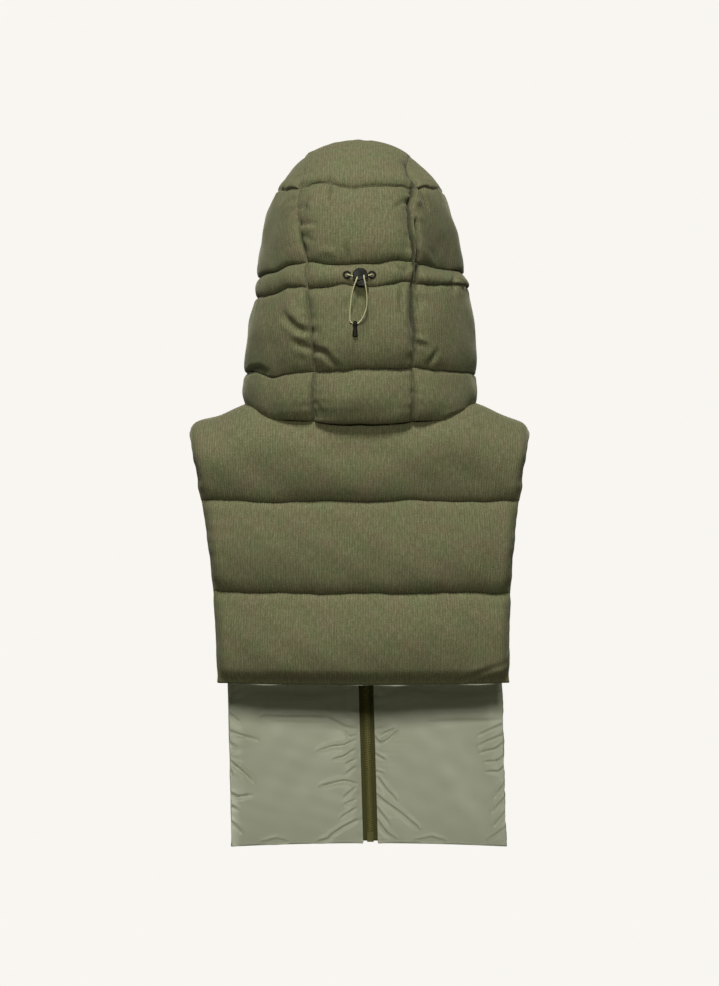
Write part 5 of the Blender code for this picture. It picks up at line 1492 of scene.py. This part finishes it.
def stitch_shape(tree, given):
    """A stitch: a short length of thread that dips into the cloth at both ends."""
    half = add_node(tree, "ShaderNodeCombineXYZ", {0: given["Width"], 1: given["Height"], 2: given["Length"]})
    bead = add_node(tree, "GeometryNodeMeshUVSphere", {"Segments": 6, "Rings": 5, "Radius": 0.5})
    shaped = add_node(tree, "GeometryNodeTransform", {"Geometry": bead.outputs[0], "Scale": half.outputs[0]})
    smooth = add_node(tree, "GeometryNodeSetShadeSmooth", {0: shaped.outputs[0]})
    return smooth.outputs[0]


def tooth_shape(tree, given):
    """A moulded tooth: a rounded grip over the tape's edge, a neck, and a head across the middle."""
    parts = []
    for kind, place, size in (
        ("cube", (0.66, 0.0, 0.0), (0.70, 1.0, 0.62)),
        ("cube", (0.28, 0.0, 0.0), (0.50, 0.66, 0.36)),
        ("head", (-0.07, 0.0, 0.0), (0.48, 0.60, 0.48)),
    ):
        sizes = [
            add_node(tree, "ShaderNodeMath", {0: given[k], 1: f}, operation="MULTIPLY").outputs[0]
            for k, f in zip(("Width", "Height", "Length"), size)
        ]
        at = add_node(tree, "ShaderNodeMath", {0: given["Width"], 1: place[0]}, operation="MULTIPLY")
        centre = add_node(tree, "ShaderNodeCombineXYZ", {0: at.outputs[0]})
        scale = add_node(tree, "ShaderNodeCombineXYZ", {0: sizes[0], 1: sizes[1], 2: sizes[2]})
        if kind == "cube":
            form = add_node(tree, "GeometryNodeMeshCube", {"Size": (1, 1, 1)})
            if place[0] > 0.5:
                form = add_node(
                    tree,
                    "GeometryNodeSubdivisionSurface",
                    {"Mesh": form.outputs[0], "Level": 1, "Edge Crease": 0.35},
                )
        else:
            rod = add_node(tree, "GeometryNodeMeshCylinder", {"Vertices": 8, "Radius": 0.5, "Depth": 1.0})
            form = add_node(
                tree, "GeometryNodeTransform", {"Geometry": rod.outputs[0], "Rotation": (math.pi / 2, 0, 0)}
            )
        parts.append(
            add_node(
                tree,
                "GeometryNodeTransform",
                {"Geometry": form.outputs[0], "Translation": centre.outputs[0], "Scale": scale.outputs[0]},
            ).outputs[0]
        )
    joined = add_node(tree, "GeometryNodeJoinGeometry")
    for part in parts:
        tree.links.new(part, joined.inputs[0])
    return joined.outputs[0]


def run_row(name, paths, tree, values):
    """Runs a row tree along paths of points and directions out, and gives back one plain object."""
    points = np.concatenate([p for p, _ in paths])
    outs = np.concatenate([n for _, n in paths])
    starts = np.cumsum([0] + [len(p) for p, _ in paths])
    edges = [(i, i + 1) for a, b in zip(starts, starts[1:]) for i in range(a, b - 1)]
    mesh = bpy.data.meshes.new(name + "_path")
    mesh.from_pydata(points.tolist(), edges, [])
    mesh.attributes.new("out", "FLOAT_VECTOR", "POINT").data.foreach_set("vector", outs.ravel())
    piece = bpy.data.objects.new(name, mesh)
    garment_collection().objects.link(piece)
    row = piece.modifiers.new("row", "NODES")
    row.node_group = tree
    for item in tree.interface.items_tree:
        if item.in_out == "INPUT" and item.name in values:
            row[item.identifier] = values[item.name]
    evaluated = piece.evaluated_get(bpy.context.evaluated_depsgraph_get())
    made = bpy.data.meshes.new_from_object(evaluated)
    piece.modifiers.remove(row)
    piece.data = made
    made.name = name
    made.materials.clear()
    made.materials.append(values["Material"])
    made.polygons.foreach_set("material_index", [0] * len(made.polygons))
    bpy.data.meshes.remove(mesh)
    if not len(made.polygons):
        raise RuntimeError(name + ": the row came out empty")
    return piece


def sew(name, paths, sizes, material):
    """Rows of stitches, one object for a panel."""
    thick = 0.0005
    values = {"Pitch": sizes.stitch, "Length": 0.82 * sizes.stitch, "Width": thick, "Height": thick}
    piece = run_row(name, paths, row_tree("row_of_stitches", stitch_shape), {**values, "Material": material})
    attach(piece, "garment")
    return piece


def dress(piece, materials, slot, *nodes, fill=None):
    """Gives a piece its materials and its body, and hides the nodes that it stands for. Its slot is not used.
    """
    for material in materials:
        piece.data.materials.append(material)
    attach(piece, "garment")
    if nodes:
        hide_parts(*nodes)
    return piece


# ---------------------------------------------------------------- settings
class BibSizes(bpy.types.PropertyGroup):
    """Sizes that change how the cloth looks."""

    rib: bpy.props.FloatProperty(
        name="Rib", description="Width of one needlecord rib as drawn", default=0.0029, unit="LENGTH"
    )
    loft: bpy.props.FloatProperty(
        name="Loft",
        description="How full the baffles are, as a share of the cut",
        default=1.0,
        subtype="FACTOR",
    )
    stitch: bpy.props.FloatProperty(
        name="Stitch", description="From one stitch to the next", default=0.003, unit="LENGTH"
    )
    line_wobble: bpy.props.FloatProperty(
        name="Line wobble", description="How far quilting lines wander", default=0.0011, unit="LENGTH"
    )
    pucker: bpy.props.FloatProperty(
        name="Pucker", description="Height of the small folds beside stitching", default=0.0010, unit="LENGTH"
    )
    crease: bpy.props.FloatProperty(
        name="Creases", description="Strength of the marked creases", default=1.4, subtype="FACTOR"
    )


class BibColours(bpy.types.PropertyGroup):
    """Colours of the cloth and the trim."""

    cord: bpy.props.FloatVectorProperty(
        name="Cord", description="Needlecord ground", subtype="COLOR", default=linear("#575b3d")
    )
    cord_brown: bpy.props.FloatVectorProperty(
        name="Brown pile",
        description="Needlecord where the pile leans",
        subtype="COLOR",
        default=linear("#5e5841"),
    )
    cord_light: bpy.props.FloatVectorProperty(
        name="Light pile", description="Tips of the pile", subtype="COLOR", default=linear("#707056")
    )
    cord_shade: bpy.props.FloatVectorProperty(
        name="Groove", description="Between the ribs", subtype="COLOR", default=linear("#3e3e26")
    )
    cord_pile: bpy.props.FloatVectorProperty(
        name="Sheen", description="Glow at the edges of a form", subtype="COLOR", default=linear("#a6a890")
    )
    thread: bpy.props.FloatVectorProperty(
        name="Thread", description="Sewing thread of the shell", subtype="COLOR", default=linear("#4f4d33")
    )
    tape: bpy.props.FloatVectorProperty(
        name="Zip tape", description="Woven tape", subtype="COLOR", default=linear("#6a683b")
    )
    teeth: bpy.props.FloatVectorProperty(
        name="Zip teeth", description="Moulded teeth", subtype="COLOR", default=linear("#77733f")
    )
    elastic: bpy.props.FloatVectorProperty(
        name="Drawcord", description="Strands of the elastic cord", subtype="COLOR", default=linear("#b9b88c")
    )
    elastic_shade: bpy.props.FloatVectorProperty(
        name="Drawcord shade", description="Between its strands", subtype="COLOR", default=linear("#6f6e48")
    )
    black: bpy.props.FloatVectorProperty(
        name="Black plastic",
        description="Lock, eyelets and cord end",
        subtype="COLOR",
        default=linear("#12110e"),
    )
    metal: bpy.props.FloatVectorProperty(
        name="Dark metal", description="Zip slider and pull", subtype="COLOR", default=linear("#54534e")
    )
    lining: bpy.props.FloatVectorProperty(
        name="Lining", description="Nylon lining", subtype="COLOR", default=linear("#d1d5c2")
    )
    lining_warm: bpy.props.FloatVectorProperty(
        name="Warm lining",
        description="Nylon lining in its warmer patches",
        subtype="COLOR",
        default=linear("#cfd2be"),
    )


# ---------------------------------------------------------------- pieces
def swept_cord(name, points, radius, sides=12):
    """A round tube along points. Its UV map runs once round it, and along it in metres."""
    ways = unit(np.gradient(points, axis=0))
    turns = np.linspace(0, 2 * math.pi, sides, endpoint=False)
    side = np.array((0.0, 1.0, 0.2))
    rings = []
    for point, way in zip(points, ways):
        side = unit(side - way * (side @ way))
        up = np.cross(way, side)
        rings.append(point + radius * (np.outer(np.cos(turns), side) + np.outer(np.sin(turns), up)))
    count = len(points)
    index = np.arange(count * sides).reshape(count, sides)
    after = np.roll(index, -1, axis=1)
    quads = np.stack([index[:-1], after[:-1], after[1:], index[1:]], axis=-1).reshape(-1, 4)
    mesh = bpy.data.meshes.new(name)
    faces = quads.tolist() + [index[0][::-1].tolist(), index[-1].tolist()]
    mesh.from_pydata(np.concatenate(rings).tolist(), [], faces)
    along = lengths_along(points)
    layer = mesh.uv_layers.new(name="cloth")
    i, j = np.divmod(np.arange((count - 1) * sides), sides)
    uv = np.stack([
        np.stack([j, j + 1, j + 1, j], axis=1) / sides,
        np.stack([along[i], along[i], along[i + 1], along[i + 1]], axis=1),
    ], axis=-1)
    full = np.zeros((len(mesh.loops), 2))
    full[: uv.size // 2] = uv.reshape(-1, 2)
    layer.uv.foreach_set("vector", full.ravel())
    mesh.shade_smooth()
    piece = bpy.data.objects.new(name, mesh)
    garment_collection().objects.link(piece)
    return piece


class BIB_OT_drawcord(bpy.types.Operator):
    """Make the elastic drawcord"""

    bl_idname = "bib.drawcord"
    bl_label = "Drawcord"

    def execute(self, context):
        line = smooth_line(CORD_ROUTE)
        points = at_shares(line, np.linspace(0, 1, 240))
        piece = swept_cord("braided_drawcord", points, CORD_DRAWN * CORD_R)
        piece.data.materials.append(braided_elastic("braided_elastic", context.scene.bib_colours))
        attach(piece, "garment")
        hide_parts("drawcord")
        return {"FINISHED"}


def zip_line():
    """The middle of the closed zip seen from the side, from the hem to the throat."""
    path = body_path(ZIP_EDGE, True)
    body = at_shares(path, np.linspace(1, neck_share(path, ZIP_ANGLE), 60))[:, 1:]
    low, low_out = neck_seam(ZIP_ANGLE)
    throat = np.array((ZIP_EDGE, float(eased(FACE_EDGE, HOOD_LINES[0])), HOOD_LINES[0]))
    collar = [roll_row(low, low_out, throat, low_out, r, 180)[0][1:] for r in np.linspace(0, 1, 21)[1:]]
    return np.vstack([body, collar])


def zip_places(first, last, pitch):
    """Places up the zip, leaned as it hangs, and the directions out of it."""
    line = zip_line()
    far = lengths_along(line)
    stops = np.arange(first, last, pitch)
    here, above, below = (
        np.column_stack([np.interp(stops + step, far, line[:, k]) for k in (0, 1)])
        for step in (0, 0.002, -0.002)
    )
    up = unit(above - below)
    zero = np.zeros(len(stops))
    return np.column_stack([zero, here]), np.column_stack([zero, up[:, 1], -up[:, 0]])


class BIB_OT_zip(bpy.types.Operator):
    """Make the zip's woven tapes and its rows of moulded teeth"""

    bl_idname = "bib.zip"
    bl_label = "Zip"

    def execute(self, context):
        colours = context.scene.bib_colours
        weave = zip_tape_weave("polyester_zip_tape", colours)
        acetal = moulded_plastic("olive_acetal_teeth", colours.teeth, 0.45, 0.3)
        length = float(lengths_along(zip_line())[-1])
        edge = ZIP_EDGE - SEAM_GAP
        # the tape swells into a cord at its inner edge, under the teeth
        across = np.array((0.0, 0.0006, 0.0018, 0.0026, 0.0040, 0.0058, 0.0076, edge))
        half = np.array((0.0004, 0.0008, 0.0008, 0.0004, 0.0004, 0.0004, 0.0004, 0.0004))
        places, outs = zip_places(TAPE_FOOT, length - 0.0004, 0.003)
        for side, sign in (("left", -1), ("right", 1)):
            grid = places[:, None] + across[:, None] * (sign, 0, 0)
            faces = [lean(grid + way * outs[:, None] * half[:, None], True) for way in (1, -1)]
            uv = np.stack(np.broadcast_arrays(across, places[:, 2:]), axis=2)
            piece = closed_cloth("zip_weave_" + side, faces[0], faces[1], uv, garment_collection())
            piece.data.polygons.foreach_set("material_index", [0] * len(piece.data.polygons))
            dress(piece, (weave,), "zip_tape", "zip_tape_" + side)
            first = TAPE_FOOT + BOX_TOP + 0.0010 + (TOOTH_PITCH / 2 if sign > 0 else 0)
            path, out = zip_places(first, length - SLIDER_DROP, TOOTH_PITCH / 4)
            values = {"Pitch": TOOTH_PITCH, "Length": TOOTH_PITCH, "Width": TEETH_REACH, "Height": 0.0036}
            teeth = run_row(
                "zip_teeth_" + side,
                [(lean(path, True), out * sign)],
                row_tree("row_of_teeth", tooth_shape),
                {**values, "Material": acetal},
            )
            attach(teeth, "garment")
            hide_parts("zip_tape_" + side)
        return {"FINISHED"}


class BIB_OT_trim(bpy.types.Operator):
    """Finish the cord lock, the eyelets, the cord's end, and the zip's slider, pull and box"""

    bl_idname = "bib.trim"
    bl_label = "Trim"

    def execute(self, context):
        colours = context.scene.bib_colours
        black = moulded_plastic("black_acetal", colours.black, 0.45, 0.09)
        olive = moulded_plastic("olive_acetal_box", colours.tape, 0.36, 0.35)
        metal = plated_zinc("plated_zinc", colours.metal)
        for material, nodes in (
            (black, ("eyelet_left", "eyelet_right", "cord_lock_body", "cord_lock_plunger", "cord_end")),
            (olive, ("zip_box",)),
            (metal, ("zip_slider", "zip_pull")),
        ):
            for node in nodes:
                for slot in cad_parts[node].material_slots:
                    slot.material = material
        return {"FINISHED"}


class BIB_OT_back(bpy.types.Operator):
    """Make the quilted back panel"""

    bl_idname = "bib.back"
    bl_label = "Back panel"

    def execute(self, context):
        sizes, colours = context.scene.bib_sizes, context.scene.bib_colours
        panel, rows = body_panel(False, 1, sizes)
        piece = panel.make("back_shell", garment_collection())
        dress(piece, cloth_materials(sizes, colours), "needlecord", "back_panel", fill=0.55)
        thread, _ = thread_materials(colours)
        sew("back_stitches", [panel.line(row) for row in rows], sizes, thread)
        return {"FINISHED"}


class BIB_OT_fronts(bpy.types.Operator):
    """Make the two quilted fronts"""

    bl_idname = "bib.fronts"
    bl_label = "Front panels"

    def execute(self, context):
        sizes, colours = context.scene.bib_sizes, context.scene.bib_colours
        for side, sign in (("left", -1), ("right", 1)):
            panel, rows = body_panel(True, sign, sizes)
            piece = panel.make("front_shell_" + side, garment_collection())
            dress(piece, cloth_materials(sizes, colours), "needlecord", "front_" + side, fill=0.55)
            thread, _ = thread_materials(colours)
            sew("front_stitches_" + side, [panel.line(row) for row in rows], sizes, thread)
        return {"FINISHED"}


class BIB_OT_hood(bpy.types.Operator):
    """Make the hood's back gusset and its two sides"""

    bl_idname = "bib.hood"
    bl_label = "Hood"

    def execute(self, context):
        sizes, colours = context.scene.bib_sizes, context.scene.bib_colours
        materials = cloth_materials(sizes, colours)
        made = {"hood_back": (*hood_gusset(sizes), "hood_back_shell", "hood_gusset")}
        for side, sign in (("left", -1), ("right", 1)):
            made["hood_" + side] = (*hood_side(sign, sizes), "hood_shell_" + side, "hood_side_" + side)
        thread, _ = thread_materials(colours)
        for part, (panel, rows, name, node) in made.items():
            piece = panel.make(name, garment_collection())
            dress(piece, materials, "needlecord", node, fill=0.6)
            paths = [panel.line(row, side) for row in rows for side in (1, -1)]
            sew(part + "_stitches", paths, sizes, thread)
        return {"FINISHED"}


class BIB_OT_linings(bpy.types.Operator):
    """Make the linings of the back and the fronts"""

    bl_idname = "bib.linings"
    bl_label = "Linings"

    def execute(self, context):
        sizes, colours = context.scene.bib_sizes, context.scene.bib_colours
        _, nylon = cloth_materials(sizes, colours)
        _, thread = thread_materials(colours)
        for name, front, sign in (
            ("back_lining", False, 1),
            ("front_lining_left", True, -1),
            ("front_lining_right", True, 1),
        ):
            panel = lining_panel(front, sign, sizes)
            piece = panel.make(name + "_cloth", garment_collection())
            dress(piece, (nylon,), "lining", name)
            piece.data.polygons.foreach_set("material_index", [0] * len(piece.data.polygons))
            near = int(np.argmax(panel.uv[:, :, 1].mean(axis=1) > 0.0022))
            paths = [panel.line(near, -1)]
            if front:
                inside = int(np.argmax(panel.uv[:, :, 0].mean(axis=0) > 0.0014))
                paths.append(panel.upright(inside, -1))
            sew(name + "_stitches", paths, sizes, thread)
        return {"FINISHED"}


# ---------------------------------------------------------------- the stage
BACKGROUND = "#f9f6f1"
CAMERA_PLACE = (0.0, -3.0, -0.0996)
FRAME_HEIGHT = 1.1832  # what the camera sees at the garment's middle
FLOOR_BELOW = 0.22  # the floor, below the garment's hem
ROOM_LIGHT = 0.05
ROOM_COLOUR = (1.0, 0.97, 0.72)
WHITE = (1.0, 1.0, 1.0)
# soft boxes: name, place, width and height, how bright it makes white cloth that faces it, and its colour
LAMPS = (
    ("key_overhead", (-0.30, -4.30, 6.75), (0.8, 2.3), 1.27, WHITE),
    ("front_strip", (0.02, -3.45, 0.58), (0.5, 0.38), 0.435, (1.0, 0.985, 0.88)),
    ("rear_left", (-0.9, 2.8, 0.5), (1.2, 1.2), 0.40, WHITE),
    ("rear_right", (0.9, 2.8, 0.5), (1.2, 1.2), 0.40, WHITE),
)
LIT = Vector((0, 0, -0.1))  # what the soft boxes face


def soft_box(name, place, size, strength, colour):
    """A soft box that faces the garment and isn't seen itself."""
    light = bpy.data.lights.new(name, "AREA")
    light.color = colour
    light.shape = "RECTANGLE"
    light.size, light.size_y = size
    light.energy = strength * math.pi**2 * (place - LIT).length_squared
    box = bpy.data.objects.new(name, light)
    box.location = place
    box.rotation_euler = (LIT - place).to_track_quat("-Z", "Y").to_euler()
    box.visible_camera = False
    bpy.context.scene.collection.objects.link(box)


def backdrop():
    """A pale floor that curves up into a wall and a ceiling, so evenly lit that it shows no edge."""
    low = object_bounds()[0][2] - FLOOR_BELOW
    # columns: distance from the middle, height above the floor
    profile = ((0, 0), (10, 0), (13, 0.8), (15, 3), (15, 12), (9, 16), (0, 17))
    profile = smooth_line([(r, 0, low + z) for r, z in profile], 8)
    turns = np.linspace(0, 2 * math.pi, 65)
    points = np.array([(r * np.cos(turns), r * np.sin(turns), z + 0 * turns) for r, _, z in profile])
    points = points.transpose(0, 2, 1)
    rows, columns = points.shape[:2]
    index = np.arange(rows * columns).reshape(rows, columns)
    quads = np.stack([index[:-1, :-1], index[1:, :-1], index[1:, 1:], index[:-1, 1:]], axis=-1)
    mesh = bpy.data.meshes.new("floor_and_wall")
    mesh.from_pydata(points.reshape(-1, 3).tolist(), [], quads.reshape(-1, 4).tolist())
    mesh.shade_smooth()
    room = bpy.data.objects.new("floor_and_wall", mesh)
    bpy.context.scene.collection.objects.link(room)
    # matt paint under its own even light, which the cloth doesn't pick up
    paint, _, shader = new_material("matt_studio_paint", (0, 0, 0), 1.0)
    shader.inputs["Specular IOR Level"].default_value = 0.0
    shader.inputs["Emission Color"].default_value = (*linear(BACKGROUND), 1)
    shader.inputs["Emission Strength"].default_value = 1.0
    mesh.materials.append(paint)
    room.visible_diffuse = room.visible_glossy = room.visible_shadow = False
    room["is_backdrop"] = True


class BIB_OT_stage(bpy.types.Operator):
    """Set the floor, the lights and the camera"""

    bl_idname = "bib.stage"
    bl_label = "Stage"

    def execute(self, context):
        scene = context.scene
        scene.view_settings.view_transform = "Standard"
        world = bpy.data.worlds.new("studio")
        world.use_nodes = True
        ground = world.node_tree.nodes["Background"]
        ground.inputs["Color"].default_value = (*ROOM_COLOUR, 1)
        ground.inputs["Strength"].default_value = ROOM_LIGHT
        scene.world = world
        backdrop()
        for name, place, size, strength, colour in LAMPS:
            soft_box(name, Vector(place), size, strength, colour)
        camera = bpy.data.cameras.new("camera")
        camera.sensor_width = 36
        camera.lens = 36 / (FRAME_HEIGHT / -CAMERA_PLACE[1])
        eye = bpy.data.objects.new("camera", camera)
        eye.location = CAMERA_PLACE
        eye.rotation_euler = (math.pi / 2, 0, 0)
        scene.collection.objects.link(eye)
        scene.camera = eye
        return {"FINISHED"}


class BIB_PT_panel(bpy.types.Panel):
    """Sizes, colours and pieces of the bib"""

    bl_label = "Bib"
    bl_space_type = "VIEW_3D"
    bl_region_type = "UI"
    bl_category = "Bib"

    def draw(self, context):
        layout = self.layout
        for group in (context.scene.bib_sizes, context.scene.bib_colours):
            for key in group.bl_rna.properties.keys():
                if key not in ("rna_type", "name"):
                    layout.prop(group, key)
        for operator in STEPS:
            layout.operator(operator.bl_idname)


STEPS = (
    BIB_OT_stage,
    BIB_OT_drawcord,
    BIB_OT_back,
    BIB_OT_fronts,
    BIB_OT_hood,
    BIB_OT_linings,
    BIB_OT_zip,
    BIB_OT_trim,
)
CLASSES = (BibSizes, BibColours, *STEPS, BIB_PT_panel)


def register():
    for each in CLASSES:
        bpy.utils.register_class(each)
    bpy.types.Scene.bib_sizes = bpy.props.PointerProperty(type=BibSizes)
    bpy.types.Scene.bib_colours = bpy.props.PointerProperty(type=BibColours)


def unregister():
    del bpy.types.Scene.bib_sizes
    del bpy.types.Scene.bib_colours
    for each in reversed(CLASSES):
        bpy.utils.unregister_class(each)


def main():
    register()
    bpy.ops.bib.stage()
    bpy.ops.bib.drawcord()
    bpy.ops.bib.back()
    bpy.ops.bib.fronts()
    bpy.ops.bib.hood()
    bpy.ops.bib.linings()
    bpy.ops.bib.zip()
    bpy.ops.bib.trim()


if __name__ == "__main__":
    main()
